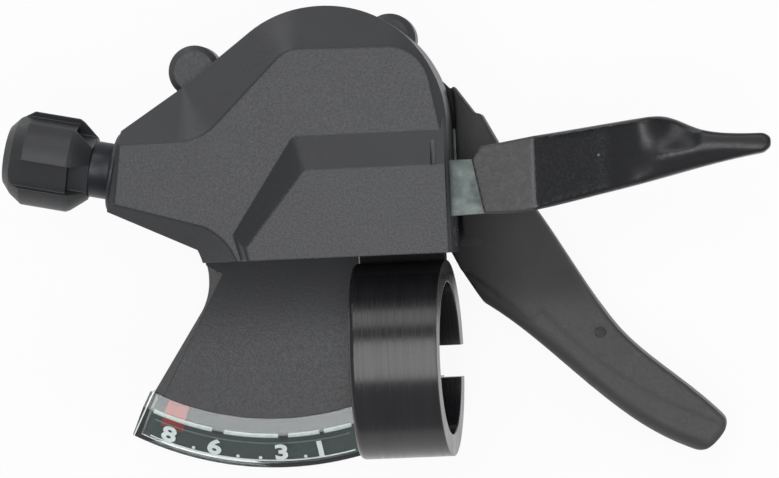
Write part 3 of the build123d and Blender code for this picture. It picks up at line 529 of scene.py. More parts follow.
@dataclass(frozen=True)
class PlatedSteel:
    """Plated or bright steel with rolling lines and cloudy plating."""

    name: str
    tone: Colour
    dull: Colour
    shine: float
    lines: Point = (1.0, 12.0, 12.0)

    def material(self) -> Material:
        """Build the material.

        Returns:
            The material, with its nodes.
        """
        made = Shader(self.name)
        eased = made.eased(radius=0.00015)
        lines = made.noise(scale=420, detail=4, where=made.stretched(self.lines))
        cloud = made.noise(scale=260, detail=4)
        made.wear(base_color=made.clouded(cloud, self.tone, self.dull, MOTTLE_HIGH))
        made.wear(roughness=made.uneven(cloud, first=self.shine - 0.06, last=self.shine + 0.1))
        made.wear(normal=made.bump(lines, depth=0.00001, under=eased))
        made.wear(metallic=1.0)
        return made.material


@dataclass(frozen=True)
class ClearPlastic:
    """Clear window plastic that lets the lamps reach the scale."""

    name: str
    tone: Colour

    def material(self) -> Material:
        """Build the material.

        Returns:
            The material, with its nodes.
        """
        made = Shader(self.name)
        waves = made.noise(scale=90, detail=2)
        made.wear(normal=made.bump(waves, depth=0.00002, under=made.face(), strength=0.3))
        made.wear(roughness=made.uneven(waves, first=0.015, last=0.05))
        made.wear(base_color=(*self.tone, 1), transmission_weight=1.0, ior=WINDOW_IOR)
        to_lamps = made.node("ShaderNodeLightPath").outputs["Is Shadow Ray"]
        opening = made.node("ShaderNodeBsdfTransparent").outputs[0]
        made.surface(made.blend(to_lamps, made.skin.outputs[0], opening))
        return made.material


@dataclass(frozen=True)
class Ink:
    """Printed or dyed matt surface with a slightly uneven tone, also used for a painted highlight
    and a painted shade.
    """

    name: str
    tone: Colour
    shade: Colour
    shine: float = 0.5

    def material(self) -> Material:
        """Build the material.

        Returns:
            The material, with its nodes.
        """
        made = Shader(self.name)
        spots = made.noise(scale=1500, detail=2)
        made.wear(base_color=made.clouded(spots, self.tone, self.shade, MOTTLE_HIGH))
        made.wear(roughness=made.uneven(spots, first=self.shine - 0.06, last=self.shine + 0.08))
        made.wear(normal=made.bump(spots, depth=0.000006, under=made.eased(radius=0.0001)))
        return made.material


Finish = MouldedPlastic | TriggerPlastic | TurnedPaint | PlatedSteel | ClearPlastic | Ink


@dataclass(frozen=True)
class Finishes:
    """Every finish of the shifter and the nodes that wear it."""

    cover: MouldedPlastic = MouldedPlastic(
        "cover_plastic", srgb(45, 46, 49), srgb(92, 93, 97), shine=0.42, cove=14.0
    )
    # Painted shade darkens the lever's root next to the cover.
    lever: MouldedPlastic = MouldedPlastic(
        "lever_plastic", srgb(62, 62, 61), srgb(96, 96, 95),
        shine=0.52, grain=2600.0, depth=0.00002, painted_shade_to=0.018,
    )
    knob: MouldedPlastic = MouldedPlastic(
        "knob_plastic", srgb(42, 43, 45), srgb(84, 86, 90), shine=0.44
    )
    trigger: TriggerPlastic = TriggerPlastic(
        "trigger_plastic", srgb(56, 56, 57), srgb(104, 104, 105), srgb(24, 25, 28)
    )
    band: TurnedPaint = TurnedPaint("band_paint", srgb(28, 28, 30), srgb(104, 108, 110))
    zinc: PlatedSteel = PlatedSteel("zinc_steel", srgb(92, 98, 96), srgb(58, 64, 64), shine=0.4)
    pin: PlatedSteel = PlatedSteel(
        "pin_steel", srgb(178, 180, 184), srgb(150, 152, 156), shine=0.26, lines=(12.0, 12.0, 1.0)
    )
    screw: PlatedSteel = PlatedSteel(
        "screw_steel", srgb(184, 186, 188), srgb(150, 154, 156), shine=0.32
    )
    bolt: PlatedSteel = PlatedSteel("bolt_black", srgb(66, 68, 71), srgb(52, 53, 56), shine=0.4)
    spring: PlatedSteel = PlatedSteel(
        "spring_steel", srgb(168, 170, 174), srgb(132, 134, 140), shine=0.28, lines=(4.0, 4.0, 4.0)
    )
    spool: MouldedPlastic = MouldedPlastic(
        "spool_resin", srgb(60, 60, 62), srgb(96, 96, 98), shine=0.4
    )
    lens: ClearPlastic = ClearPlastic("lens_clear", (0.9, 0.955, 0.94))
    dial: Ink = Ink("dial_dark", srgb(52, 61, 62), srgb(60, 69, 70))
    needle: Ink = Ink("needle_red", srgb(168, 44, 36), srgb(150, 36, 30), shine=0.4)
    figures: Ink = Ink("figures_white", srgb(246, 248, 248), srgb(238, 241, 241), shine=0.55)
    lines: Ink = Ink("lines_grey", srgb(112, 120, 121), srgb(100, 108, 110), shine=0.55)
    # Dark ink of the stops and the dust strip, also worn by the painted shade of the lever's hole.
    stops: Ink = Ink("dark_stops_and_hole_shade", srgb(34, 36, 38), srgb(28, 30, 32))
    # Painted highlight along the window's bend, laid as a pale strip.
    crease_highlight: Ink = Ink("painted_crease_highlight", srgb(224, 230, 226), srgb(204, 214, 209), shine=0.4)
    seal: Ink = Ink("seal_dark", srgb(58, 66, 67), srgb(50, 58, 59))

    def wearers(self) -> dict[str, Finish]:
        """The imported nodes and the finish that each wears.

        Returns:
            The finish by the name of the node.
        """
        rows = (
            (self.cover, "upper_cover lower_cover indicator_back cable_cap"),
            (self.lever, "thumb_lever"),
            (self.trigger, "trigger_grip"),
            (self.knob, "adjuster_knob"),
            (self.band, "clamp_band"),
            (self.zinc, "trigger_plate base_plate lever_plate"),
            (self.zinc, "holding_pawl feed_pawl ratchet_wheel"),
            (self.pin, "main_axle axle_nut trigger_stud spring_peg"),
            (self.pin, "feed_pawl_pin trigger_clip needle_clip"),
            (self.screw, "clamp_bolt clamp_nut band_screws cover_screws back_screws"),
            (self.bolt, "adjuster_bolt"),
            (self.spring, "lever_spring spool_spring trigger_spring adjuster_spring"),
            (self.spool, "spool"),
            (self.lens, "indicator_lens"),
            (self.dial, "indicator_dial"),
            (self.needle, "needle"),
        )
        return {node: finish for finish, nodes in rows for node in nodes.split()}


@dataclass
class Workshop:
    """Holds each material once and dresses pieces with it."""

    finishes: Finishes = field(default_factory=Finishes)
    made: dict[str, Material] = field(default_factory=dict)

    def material(self, finish: Finish) -> Material:
        """The material of a finish, built on first use.

        Args:
            finish: The finish.

        Returns:
            Its one material.
        """
        if finish.name not in self.made:
            self.made[finish.name] = finish.material()
        return self.made[finish.name]

    def dress(self, piece: bpy.types.Object, finish: Finish) -> None:
        """Give a piece one finish all over."""
        piece.data.materials.clear()
        piece.data.materials.append(self.material(finish))

    def dress_solids(self) -> None:
        """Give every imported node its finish."""
        for node, finish in self.finishes.wearers().items():
            self.dress(frame["nodes"][node], finish)
            LOG.info("%s wears %s", node, finish.name)


def show(made: bpy.types.Object) -> None:
    """Link a new object into the scene."""
    bpy.context.scene.collection.objects.link(made)


def settled(carrier: bpy.types.Object) -> Mesh:
    """Turn an object that isn't in the scene yet into the mesh that it comes out as.

    Args:
        carrier: Object with modifiers or text, which is used up.

    Returns:
        The plain mesh.
    """
    show(carrier)
    graph = bpy.context.evaluated_depsgraph_get()
    mesh = bpy.data.meshes.new_from_object(carrier.evaluated_get(graph))
    carrier.modifiers.clear()
    bpy.data.objects.remove(carrier)
    return mesh


def mesh_of(name: str, made: bmesh.types.BMesh) -> Mesh:
    """Turn a finished bmesh into a mesh and free it.

    Args:
        name: Name of the mesh.
        made: The bmesh, which is used up.

    Returns:
        The mesh.
    """
    mesh = bpy.data.meshes.new(name)
    made.to_mesh(mesh)
    made.free()
    return mesh


def piece_of(name: str, mesh: Mesh, body: str) -> bpy.types.Object:
    """Put a finished mesh into the scene as a piece that moves with a body.

    Args:
        name: Name of the piece.
        mesh: Mesh in the shared frame, in metres.
        body: Body that it rides on.

    Returns:
        The new object.
    """
    made = bpy.data.objects.new(name, mesh)
    mesh.name = name
    show(made)
    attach(made, body)
    LOG.info("%s rides on %s with %d faces", name, body, len(mesh.polygons))
    return made


class PieceTree(Nodes):
    """A Geometry Nodes tree with named inputs that is run once into a plain mesh."""

    def __init__(self, name: str) -> None:
        """Start a tree with one geometry output.

        Args:
            name: Name of the tree.
        """
        super().__init__(bpy.data.node_groups.new(name, "GeometryNodeTree"))
        for way in ("INPUT", "OUTPUT"):
            self.socket("Geometry", way, "NodeSocketGeometry")
        self.entry = self.tree.nodes.new("NodeGroupInput")
        self.exit = self.tree.nodes.new("NodeGroupOutput")
        self.keys: dict[str, str] = {}

    def socket(self, name: str, way: str, kind: str) -> str:
        """Add an input or an output to the tree and return its identifier."""
        return self.tree.interface.new_socket(name, in_out=way, socket_type=kind).identifier

    def sizes(self, *names: str) -> list[Socket]:
        """Add named inputs for sizes.

        Args:
            names: Name of each size.

        Returns:
            Their sockets inside the tree, in the same order.
        """
        for name in names:
            self.keys[name] = self.socket(name, "INPUT", "NodeSocketFloat")
        return [self.entry.outputs[name] for name in names]

    def spiral(
        self, points: int, turns: Socket, radii: tuple[Socket, Socket], height: Socket | float
    ) -> Socket:
        """Add a spiral curve.

        Args:
            points: Points in each turn.
            turns: Number of turns.
            radii: Radius at its start and at its end.
            height: How far it climbs.

        Returns:
            The curve.
        """
        return self.node("GeometryNodeCurveSpiral", {
            "Resolution": points,
            "Rotations": turns,
            "Start Radius": radii[0],
            "End Radius": radii[1],
            "Height": height,
        }).outputs[0]

    def upright(self, curve: Socket) -> Socket:
        """A curve with its sections standing along Z."""
        return self.node("GeometryNodeSetCurveNormal", {"Curve": curve}, mode="Z_UP").outputs[0]

    def oblong(self, width: Socket, height: Socket) -> Socket:
        """A rectangular section."""
        feeds = {"Width": width, "Height": height}
        return self.node("GeometryNodeCurvePrimitiveQuadrilateral", feeds).outputs[0]

    def sweep(self, curve: Socket, section: Socket) -> Socket:
        """A section swept along a curve, with closed ends."""
        feeds = {"Curve": curve, "Profile Curve": section, "Fill Caps": True}
        return self.node("GeometryNodeCurveToMesh", feeds).outputs[0]

    def close(self, shape: Socket, material: Material) -> None:
        """End the tree in real geometry with a material.

        Args:
            shape: What the tree has made.
            material: What it wears.
        """
        real = self.node("GeometryNodeRealizeInstances", {0: shape})
        feeds = {"Geometry": real.outputs[0], "Material": material}
        skin = self.node("GeometryNodeSetMaterial", feeds)
        self.join(skin.outputs[0], self.exit.inputs[0])

    def run(self, values: dict[str, float], seed: Mesh | None = None) -> Mesh:
        """Run the tree with its sizes.

        Args:
            values: Size of each named input.
            seed: Mesh that the tree starts from, or none.

        Returns:
            The plain mesh that it makes.
        """
        carrier = bpy.data.objects.new("carrier", seed or bpy.data.meshes.new("seed"))
        modifier = carrier.modifiers.new("tree", "NODES")
        modifier.node_group = self.tree
        for name, value in values.items():
            modifier[self.keys[name]] = value
        return settled(carrier)


def coil_tree(material: Material) -> PieceTree:
    """Round wire wound along Z.

    Args:
        material: What it wears.

    Returns:
        The tree, ready to run.
    """
    made = PieceTree("wound_wire")
    turns, radius, height, wire = made.sizes("Turns", "Radius", "Height", "Wire")
    curve = made.spiral(points=40, turns=turns, radii=(radius, radius), height=height)
    section = made.node("GeometryNodeCurvePrimitiveCircle", {"Resolution": 12, "Radius": wire})
    made.close(made.sweep(curve, section.outputs[0]), material)
    return made


def clock_tree(material: Material) -> PieceTree:
    """Flat strip wound in a plane.

    Args:
        material: What it wears.

    Returns:
        The tree, ready to run.
    """
    made = PieceTree("wound_strip")
    turns, inner, outer = made.sizes("Turns", "Inner", "Outer")
    strip, thickness = made.sizes("Strip", "Thickness")
    curve = made.upright(made.spiral(points=64, turns=turns, radii=(inner, outer), height=0.0))
    made.close(made.sweep(curve, made.oblong(thickness, strip)), material)
    return made


def arc_tree(material: Material) -> PieceTree:
    """Thin printed line on an arc round Z.

    Args:
        material: What it wears.

    Returns:
        The tree, ready to run.
    """
    made = PieceTree("printed_arc")
    radius, start, angle, line, film = made.sizes("Radius", "Start", "Sweep", "Line", "Film")
    feeds = {"Resolution": 96, "Radius": radius, "Start Angle": start, "Sweep Angle": angle}
    arc = made.node("GeometryNodeCurveArc", feeds, mode="RADIUS")
    made.close(made.sweep(made.upright(arc.outputs[0]), made.oblong(line, film)), material)
    return made


def dot_tree(material: Material) -> PieceTree:
    """Printed dots on the points of a seed mesh, each facing along its lean.

    Args:
        material: What they wear.

    Returns:
        The tree, ready to run.
    """
    made = PieceTree("printed_dots")
    radius, film = made.sizes("Radius", "Film")
    disc = made.node("GeometryNodeMeshCylinder", {"Vertices": 20, "Radius": radius, "Depth": film})
    lean = made.node("GeometryNodeInputNamedAttribute", {"Name": "lean"}, data_type="FLOAT_VECTOR")
    feeds = {"Vector": lean.outputs["Attribute"]}
    turn = made.node("FunctionNodeAlignRotationToVector", feeds, axis="Z")
    spread = made.node("GeometryNodeInstanceOnPoints", {
        "Points": made.entry.outputs["Geometry"],
        "Instance": disc.outputs["Mesh"],
        "Rotation": turn.outputs[0],
    })
    made.close(spread.outputs[0], material)
    return made


@dataclass
class Spring:
    """One wound spring in place of its plain solid, sizes in millimetres.

    Attributes:
        radius: Radius of the wire's middle, or of a strip's outer turn.
        wire: Radius of the wire, or thickness of a strip.
        height: Height over all.
        inner: Radius of a strip's inner turn.
        place: Where its lower end lies, in metres.
    """

    node: str
    form: SpringForm
    turns: float
    radius: float
    wire: float
    height: float
    inner: float = 0.0
    place: Matrix = field(default_factory=Matrix)

    def build(self, shop: Workshop) -> None:
        """Wind the spring and put it in place of its node.

        Args:
            shop: Holds the finishes.
        """
        material = shop.material(shop.finishes.spring)
        if self.form is SpringForm.COIL:
            mesh = coil_tree(material).run({
                "Turns": self.turns,
                "Radius": self.radius * MM,
                "Height": (self.height - 2 * self.wire) * MM,
                "Wire": self.wire * MM,
            })
            lift = self.wire
        else:
            mesh = clock_tree(material).run({
                "Turns": self.turns,
                "Inner": self.inner * MM,
                "Outer": self.radius * MM,
                "Strip": self.height * MM,
                "Thickness": self.wire * MM,
            })
            lift = self.height / 2
        mesh.transform(Matrix.Translation((0, 0, lift * MM)))
        mesh.transform(self.place)
        piece = piece_of(self.node + "_wound", mesh, frame["nodes"][self.node]["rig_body"])
        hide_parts(self.node)


@dataclass
class Springs:
    """The four springs of the mechanism, sizes in millimetres."""

    axle: Plan = (-9.25, 35.5)
    stud: Plan = (3.0289, 25.5567)
    collar: Point = (-37.0496, 28.3230, 1.8)
    guide: Point = (-0.9781476, 0.2079117, 0.0)

    def build(self, shop: Workshop) -> None:
        """Wind all four.

        Args:
            shop: Holds the finishes.
        """
        def upright(plan: Plan, low: float) -> Matrix:
            """Place on a vertical axis."""
            return Matrix.Translation(Vector((*plan, low)) * MM)

        slant = Vector(self.guide).to_track_quat("Z", "Y").to_matrix().to_4x4()
        lying = Matrix.Translation(Vector(self.collar) * MM) @ slant
        coil, clock = SpringForm.COIL, SpringForm.CLOCK
        for spring in (
            Spring(
                "lever_spring", coil, turns=3.3, radius=5.8, wire=0.58, height=4.6,
                place=upright(self.axle, -11.8),
            ),
            Spring(
                "trigger_spring", coil, turns=11.0, radius=2.02, wire=0.25, height=7.2,
                place=upright(self.stud, -1.2),
            ),
            Spring(
                "adjuster_spring", coil, turns=3.2, radius=3.75, wire=0.45, height=3.5, place=lying
            ),
            Spring(
                "spool_spring", clock, turns=4.0, radius=10.2, wire=0.32, height=3.3, inner=8.2,
                place=upright(self.axle, 0.7),
            ),
        ):
            spring.build(shop)


@dataclass
class FingerForm:
    """How the face of the finger piece runs off its ridge, sizes in millimetres.

    Attributes:
        ridge: Line of the ridge in plan.
        back: Height of the ridge along X.
        near_lean: Fall of the face on the near side, for each millimetre from the ridge.
        far_lean: The same on the far side.
        far_from: X at which the far face begins.
        filled_to: X up to which the back of the hollow is filled.
        near_before: How far before the ridge the near face begins.
        near_over: Length over which the near face sets in.
        far_over: Length over which the far face sets in.
        fill_over: Length over which the filling runs out.
        upward: Least Z of a normal on the face that is filled.
        off_wall: Least Z of a normal on the far face, which may rise; walls only fall.
    """

    ridge: Line
    back: Line
    near_lean: float
    far_lean: float
    far_from: float
    filled_to: float
    near_before: float = 2.0
    near_over: float = 4.0
    far_over: float = 6.0
    fill_over: float = 8.5
    upward: float = 0.35
    off_wall: float = 0.05

    def shape(self, mesh: Mesh) -> None:
        """Fill the back of the finger hollow, and let the face fall away beside the ridge.

        Args:
            mesh: Mesh in even small faces, which is changed.
        """
        facing = [vertex.normal.z for vertex in mesh.vertices]
        for vertex, up in zip(mesh.vertices, facing):
            x, y, z = vertex.co / MM
            top = along(self.back, x)
            if up > self.upward:
                z += max(top - z, 0.0) * ramp(self.filled_to - x, self.fill_over)
            below = along(self.ridge, x) - y
            if below > 0:
                past = x - self.ridge[0][0] + self.near_before
                fall = self.near_lean * below * ramp(past, self.near_over)
                z = min(z, top - fall) if fall > 0 else z
            else:
                rise = top + self.far_lean * below - z
                face = z + rise * ramp(x - self.far_from, self.far_over)
                z = face if up > self.off_wall else min(z, face)
            vertex.co.z = z * MM


@dataclass
class SoftMoulding:
    """A moulding with soft edges in place of its sharp solid, sizes in millimetres.

    Attributes:
        node: Node that it replaces.
        voxel: Size of its small faces.
        rounds: How often it is smoothed.
        sharp_to: X up to which its edges stay sharp.
        soft_from: X from which they are fully soft.
        tip_from: X from which they get sharper again.
        least: Least softness before soft_from.
        form: How its face is shaped, or none.
        tip_over: Length over which the tip gets sharper.
        tip_least: Least softness of the tip.
    """

    node: str
    voxel: float
    rounds: int
    sharp_to: float
    soft_from: float
    tip_from: float = 100.0
    least: float = 0.05
    form: FingerForm | None = None
    tip_over: float = 8.0
    tip_least: float = 0.3

    def build(self, shop: Workshop) -> None:
        """Soften the solid and put it in place of its node.

        Args:
            shop: Holds the finishes.
        """
        solid = frame["nodes"][self.node]
        finish = shop.finishes.wearers()[self.node]
        merged = bmesh.new()
        merged.from_mesh(solid.data)
        bmesh.ops.remove_doubles(merged, verts=merged.verts, dist=1e-6)
        mesh = self.celled(mesh_of("cells", merged))
        if self.form:
            self.form.shape(mesh)
            mesh = self.celled(mesh)
        mesh = self.softened(mesh)
        piece = piece_of(self.node + "_soft", mesh, solid["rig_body"])
        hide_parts(self.node)
        shop.dress(piece, finish)

    def celled(self, mesh: Mesh) -> Mesh:
        """The same closed form in even small faces.

        Args:
            mesh: Closed mesh, which is used up.

        Returns:
            The new mesh.
        """
        carrier = bpy.data.objects.new("carrier", mesh)
        modifier = carrier.modifiers.new("cells", "REMESH")
        modifier.mode = "VOXEL"
        modifier.voxel_size = self.voxel * MM
        return settled(carrier)

    def softened(self, mesh: Mesh) -> Mesh:
        """The same form with its edges smoothed.

        Args:
            mesh: Mesh in even small faces, which is used up.

        Returns:
            The new mesh.
        """
        carrier = bpy.data.objects.new("carrier", mesh)
        group = carrier.vertex_groups.new(name="soft")
        for vertex in mesh.vertices:
            group.add([vertex.index], self.softness(vertex.co.x / MM), "REPLACE")
        modifier = carrier.modifiers.new("soft", "SMOOTH")
        modifier.factor = 0.5
        modifier.iterations = self.rounds
        modifier.vertex_group = group.name
        made = settled(carrier)
        for face in made.polygons:
            face.use_smooth = True
        return made

    def softness(self, x: float) -> float:
        """Share of the smoothing at an X.

        Args:
            x: Where it is wanted.

        Returns:
            The share, from 0 to 1.
        """
        rise = (x - self.sharp_to) / (self.soft_from - self.sharp_to)
        fall = 1.0 - (x - self.tip_from) / self.tip_over
        return min(max(min(rise, fall), self.least if x < self.soft_from else self.tip_least), 1.0)


@dataclass
class Mouldings:
    """The two hand pieces, the round mark and the dark disc of painted hole shade on them, and the
    dust strip, sizes in millimetres.
    """

    trigger: SoftMoulding = field(default_factory=lambda: SoftMoulding(
        "trigger_grip",
        voxel=0.25,
        rounds=60,
        sharp_to=21.2,
        soft_from=25.0,
        tip_from=42.0,
        least=0.02,
        form=FingerForm(
            ridge=((37.2, 27.2), (40.9, 28.4), (44.3, 28.7), (49.2, 28.6), (54.5, 28.1)),
            back=((21.0, 9.8), (32.0, 12.2), (39.5, 15.2)),
            near_lean=0.42,
            far_lean=0.3,
            far_from=39.0,
            filled_to=45.0,
        ),
    ))
    lever: SoftMoulding = field(default_factory=lambda: SoftMoulding(
        "thumb_lever", voxel=0.34, rounds=9, sharp_to=11.0, soft_from=15.0
    ))
    # A dark disc of painted shade stands where the lever has a hole.
    hole_shade: Point = (28.6, 2.5, -13.2)
    hole_shade_radius: float = 0.75
    gate: Point = (30.44, 28.21, 11.84)
    gate_slope: float = 12.3
    gate_radius: float = 0.2
    mark_film: float = 0.16
    strip_low: Point = (-12.6, 15.4, -9.5)
    strip_high: Point = (-5.7, 15.65, -4.9)
    strip_edge: float = 0.05

    def build(self, shop: Workshop) -> None:
        """Build both pieces, the mark and the painted hole shade on them, and the strip.

        Args:
            shop: Holds the finishes.
        """
        self.trigger.build(shop)
        self.lever.build(shop)
        turn = math.radians(self.gate_slope)
        lean = Vector((-math.sin(turn), 0, math.cos(turn)))
        upward = Vector((0, 0, 1))
        lines, stops = shop.finishes.lines, shop.finishes.stops
        self.mark("gate_mark", shop, lines, self.gate, lean, self.gate_radius, Rides.TRIGGER)
        self.strip(shop)
        # Painted shade: a dark disc stands in for the shade inside the lever's hole.
        self.mark("lever_hole_shade", shop, stops, self.hole_shade, upward, self.hole_shade_radius, Rides.LEVER)

    def strip(self, shop: Workshop) -> None:
        """Set the dust strip that closes the slot between the cover and its carrier plate.

        Args:
            shop: Holds the finishes.
        """
        low, high = Vector(self.strip_low), Vector(self.strip_high)
        made = bmesh.new()
        bmesh.ops.create_cube(made, size=1.0)
        bmesh.ops.scale(made, vec=high - low, verts=made.verts)
        bmesh.ops.translate(made, vec=(low + high) / 2, verts=made.verts)
        bmesh.ops.bevel(made, geom=made.edges, offset=self.strip_edge, segments=2, affect="EDGES")
        bmesh.ops.scale(made, vec=(MM, MM, MM), verts=made.verts)
        mesh = mesh_of("dust_strip", made)
        shop.dress(piece_of("dust_strip", mesh, Rides.COVER.value), shop.finishes.stops)

    def mark(
        self,
        name: str,
        shop: Workshop,
        finish: Ink,
        place: Point,
        lean: Vector,
        radius: float,
        body: Rides,
    ) -> None:
        """Set a small round mark on a face.

        Args:
            name: Name of the piece.
            shop: Holds the finishes.
            finish: What the mark wears.
            place: Its middle.
            lean: Direction that it faces.
            radius: Its radius.
            body: Body that it rides on.
        """
        seed = bpy.data.meshes.new("mark_seat")
        seed.from_pydata([Vector(place) * MM], [], [])
        seed.attributes.new("lean", "FLOAT_VECTOR", "POINT").data[0].vector = lean
        sizes = {"Radius": radius * MM, "Film": self.mark_film * MM}
        piece_of(name, dot_tree(shop.material(finish)).run(sizes, seed), body.value)


@dataclass
class Scale:
    """Gear scale inside the sloped window, and what lines the window, sizes in millimetres.

    Attributes:
        pivot: The needle's pivot in plan, which the scale runs round.
        first_mark: Angle of the first figure in degrees.
        step: Angle from one gear to the next.
        row: The figures, with a dot for a gear that has none.
        broad: Width of a figure against the font's own.
        flat: Thickness of a figure against the font's own.
        base_radius: Radius that the figures stand on.
        film: Thickness of the print.
        dot_lift: How far a dot's middle lies inside the base radius.
        base_drop: How far the base line lies outside the base radius.
        top_drop: How far the top line lies outside the figures' tops.
        lead: Angle of a line before the first figure.
        reach: Steps of a line after the first figure.
        crease_highlight: Radius, height, width and spare angle of the pale strip that paints a
            highlight along the window's bend.
        seal: The same of the dark seal.
        stops: Angle, width and depth of each stop.
        nudge: Angle that a figure is moved by.
    """

    pivot: Plan = (-19.1, 32.7)
    top_radius: float = 43.2
    top_height: float = -13.64
    low_radius: float = 47.5
    low_height: float = -16.84
    first_mark: float = -111.2
    step: float = 4.14
    row: str = "8.6..3.1"
    figure_height: float = 2.95
    broad: float = 1.14
    flat: float = 0.5
    base_radius: float = 47.0
    film: float = 0.05
    line: float = 0.22
    dot: float = 0.27
    dot_lift: float = 0.3
    base_drop: float = 0.1
    top_drop: float = 0.4
    lead: float = 4.1
    reach: float = 8.2
    crease_highlight: tuple[float, ...] = (43.45, -13.93, 0.34, 0.8)
    seal: tuple[float, ...] = (47.93, -18.08, 0.86, 1.2)
    stops: tuple[Point, ...] = ((-102.9, 1.8, 0.5), (-90.0, 1.5, 0.8), (-82.4, 0.7, 0.6))
    nudge: dict[str, float] = field(default_factory=lambda: {
        "8": -0.8, "6": -0.3, "3": -0.2, "1": -1.2,
    })

    def fall(self) -> float:
        """Change of height for each millimetre of radius."""
        return (self.low_height - self.top_height) / (self.low_radius - self.top_radius)

    def height(self, radius: float) -> float:
        """Height of the printed face at a radius."""
        return self.top_height + (radius - self.top_radius) * self.fall()

    def seat(self, radius: float, angle: float) -> Matrix:
        """Place on the printed face, X round it, Y towards the pivot and Z out of it.

        Args:
            radius: Distance from the pivot in plan.
            angle: Angle in degrees.

        Returns:
            The place, in metres.
        """
        turn = math.radians(angle)
        out = Vector((math.cos(turn), math.sin(turn), 0))
        up = Vector((-self.fall() * out.x, -self.fall() * out.y, 1)).normalized()
        inward = (Vector((0, 0, 1)) - up * up.z).normalized()
        side = inward.cross(up)
        x, y = polar(self.pivot, radius, angle)
        seat = Matrix((side, inward, up)).transposed().to_4x4()
        seat.translation = (Vector((x, y, self.height(radius))) + up * self.film / 2) * MM
        return seat

    def figure(self, text: str) -> Mesh:
        """One figure as a flat mesh, its base at zero and its middle on X zero.

        Args:
            text: The figure.

        Returns:
            The mesh, as high as the scale's figures.
        """
        curve = bpy.data.curves.new("figure", "FONT")
        curve.body = text
        curve.align_x = "CENTER"
        curve.offset = 0.02
        curve.extrude = 0.012
        curve.bevel_depth = 0.016
        mesh = settled(bpy.data.objects.new("figure", curve))
        lows = [min(v.co[i] for v in mesh.vertices) for i in (0, 1)]
        highs = [max(v.co[i] for v in mesh.vertices) for i in (0, 1)]
        size = self.figure_height * MM / (highs[1] - lows[1])
        middle = Matrix.Translation((-(lows[0] + highs[0]) / 2, -lows[1], 0))
        mesh.transform(Matrix.Diagonal((size * self.broad, size, size * self.flat, 1)) @ middle)
        return mesh

    def build(self, shop: Workshop) -> None:
        """Print figures, dots and lines, lay a pale strip that paints a highlight along the
        window's bend, and set the window's seal and stops.

        Args:
            shop: Holds the finishes.
        """
        finishes = shop.finishes
        joined = bmesh.new()
        dots = []
        for index, text in enumerate(self.row):
            angle = self.first_mark + index * self.step
            if text == ".":
                dots.append(angle)
                continue
            mesh = self.figure(text)
            mesh.transform(self.seat(self.base_radius, angle + self.nudge[text]))
            joined.from_mesh(mesh)
        mesh = mesh_of("dial_figures", joined)
        shop.dress(piece_of("dial_figures", mesh, Rides.COVER.value), finishes.figures)
        self.print_dots(shop, dots)
        low = self.base_radius + self.base_drop
        high = self.base_radius - self.figure_height + self.top_drop
        self.lay_arc("dial_base_line", shop, finishes.figures, low, self.height(low), self.line)
        self.lay_arc("dial_top_line", shop, finishes.lines, high, self.height(high), self.line)
        # Painted highlight: a pale strip along the window's bend stands in for the light that the
        # bend catches.
        self.lay_arc("window_crease_highlight", shop, finishes.crease_highlight, *self.crease_highlight)
        self.lay_arc("window_seal", shop, finishes.seal, *self.seal)
        self.set_stops(shop)

    def print_dots(self, shop: Workshop, angles: list[float]) -> None:
        """Print a dot at each angle where no figure stands.

        Args:
            shop: Holds the finishes.
            angles: The angles in degrees.
        """
        seed = bpy.data.meshes.new("dot_seats")
        seats = [self.seat(self.base_radius - self.dot_lift, angle) for angle in angles]
        seed.from_pydata([seat.translation for seat in seats], [], [])
        lean = seed.attributes.new("lean", "FLOAT_VECTOR", "POINT")
        for item, seat in zip(lean.data, seats):
            item.vector = seat.col[2][:3]
        sizes = {"Radius": self.dot * MM, "Film": self.film * MM}
        mesh = dot_tree(shop.material(shop.finishes.figures)).run(sizes, seed)
        piece_of("dial_dots", mesh, Rides.COVER.value)

    def lay_arc(
        self,
        name: str,
        shop: Workshop,
        finish: Ink,
        radius: float,
        height: float,
        width: float,
        spare: float = 0.0,
    ) -> None:
        """Lay a thin strip round the pivot.

        Args:
            name: Name of the piece.
            shop: Holds the finishes.
            finish: What the strip wears.
            radius: Radius of its middle.
            height: Height of its underside.
            width: How wide it is.
            spare: Angle that each end is longer by.
        """
        start = self.first_mark - self.lead - spare
        end = self.first_mark + self.reach * self.step + spare
        mesh = arc_tree(shop.material(finish)).run({
            "Radius": radius * MM,
            "Start": math.radians(start),
            "Sweep": math.radians(end - start),
            "Line": width * MM,
            "Film": self.film * MM,
        })
        mesh.transform(Matrix.Translation(Vector((*self.pivot, height + self.film / 2)) * MM))
        piece_of(name, mesh, Rides.COVER.value)

    def set_stops(self, shop: Workshop) -> None:
        """Set the small dark stops that lie on the crease of the window.

        Args:
            shop: Holds the finishes.
        """
        thickness, outward, edge = 0.12, 0.2, 0.03
        joined = bmesh.new()
        for angle, width, depth in self.stops:
            made = bmesh.ops.create_cube(joined, size=MM)
            seat = self.seat(self.crease_highlight[0] + depth * outward, angle)
            bmesh.ops.scale(joined, vec=(width, depth, thickness), verts=made["verts"])
            bmesh.ops.transform(joined, matrix=seat, verts=made["verts"])
        bmesh.ops.bevel(joined, geom=joined.edges, offset=edge * MM, segments=1, affect="EDGES")
        mesh = mesh_of("window_stops", joined)
        shop.dress(piece_of("window_stops", mesh, Rides.COVER.value), shop.finishes.stops)


@dataclass(frozen=True)
class Softbox:
    """One flat lamp that faces its aim, sizes in metres."""

    name: str
    place: Point
    aim: Point
    size: Plan
    radiance: float

    def hang(self) -> None:
        """Hang the lamp."""
        data = bpy.data.lights.new(self.name, "AREA")
        data.shape = "RECTANGLE"
        data.size, data.size_y = self.size
        data.energy = self.radiance * math.pi * self.size[0] * self.size[1]
        made = bpy.data.objects.new(self.name, data)
        made.location = self.place
        back = Vector(self.place) - Vector(self.aim)
        made.rotation_euler = back.to_track_quat("Z", "Y").to_euler()
        show(made)


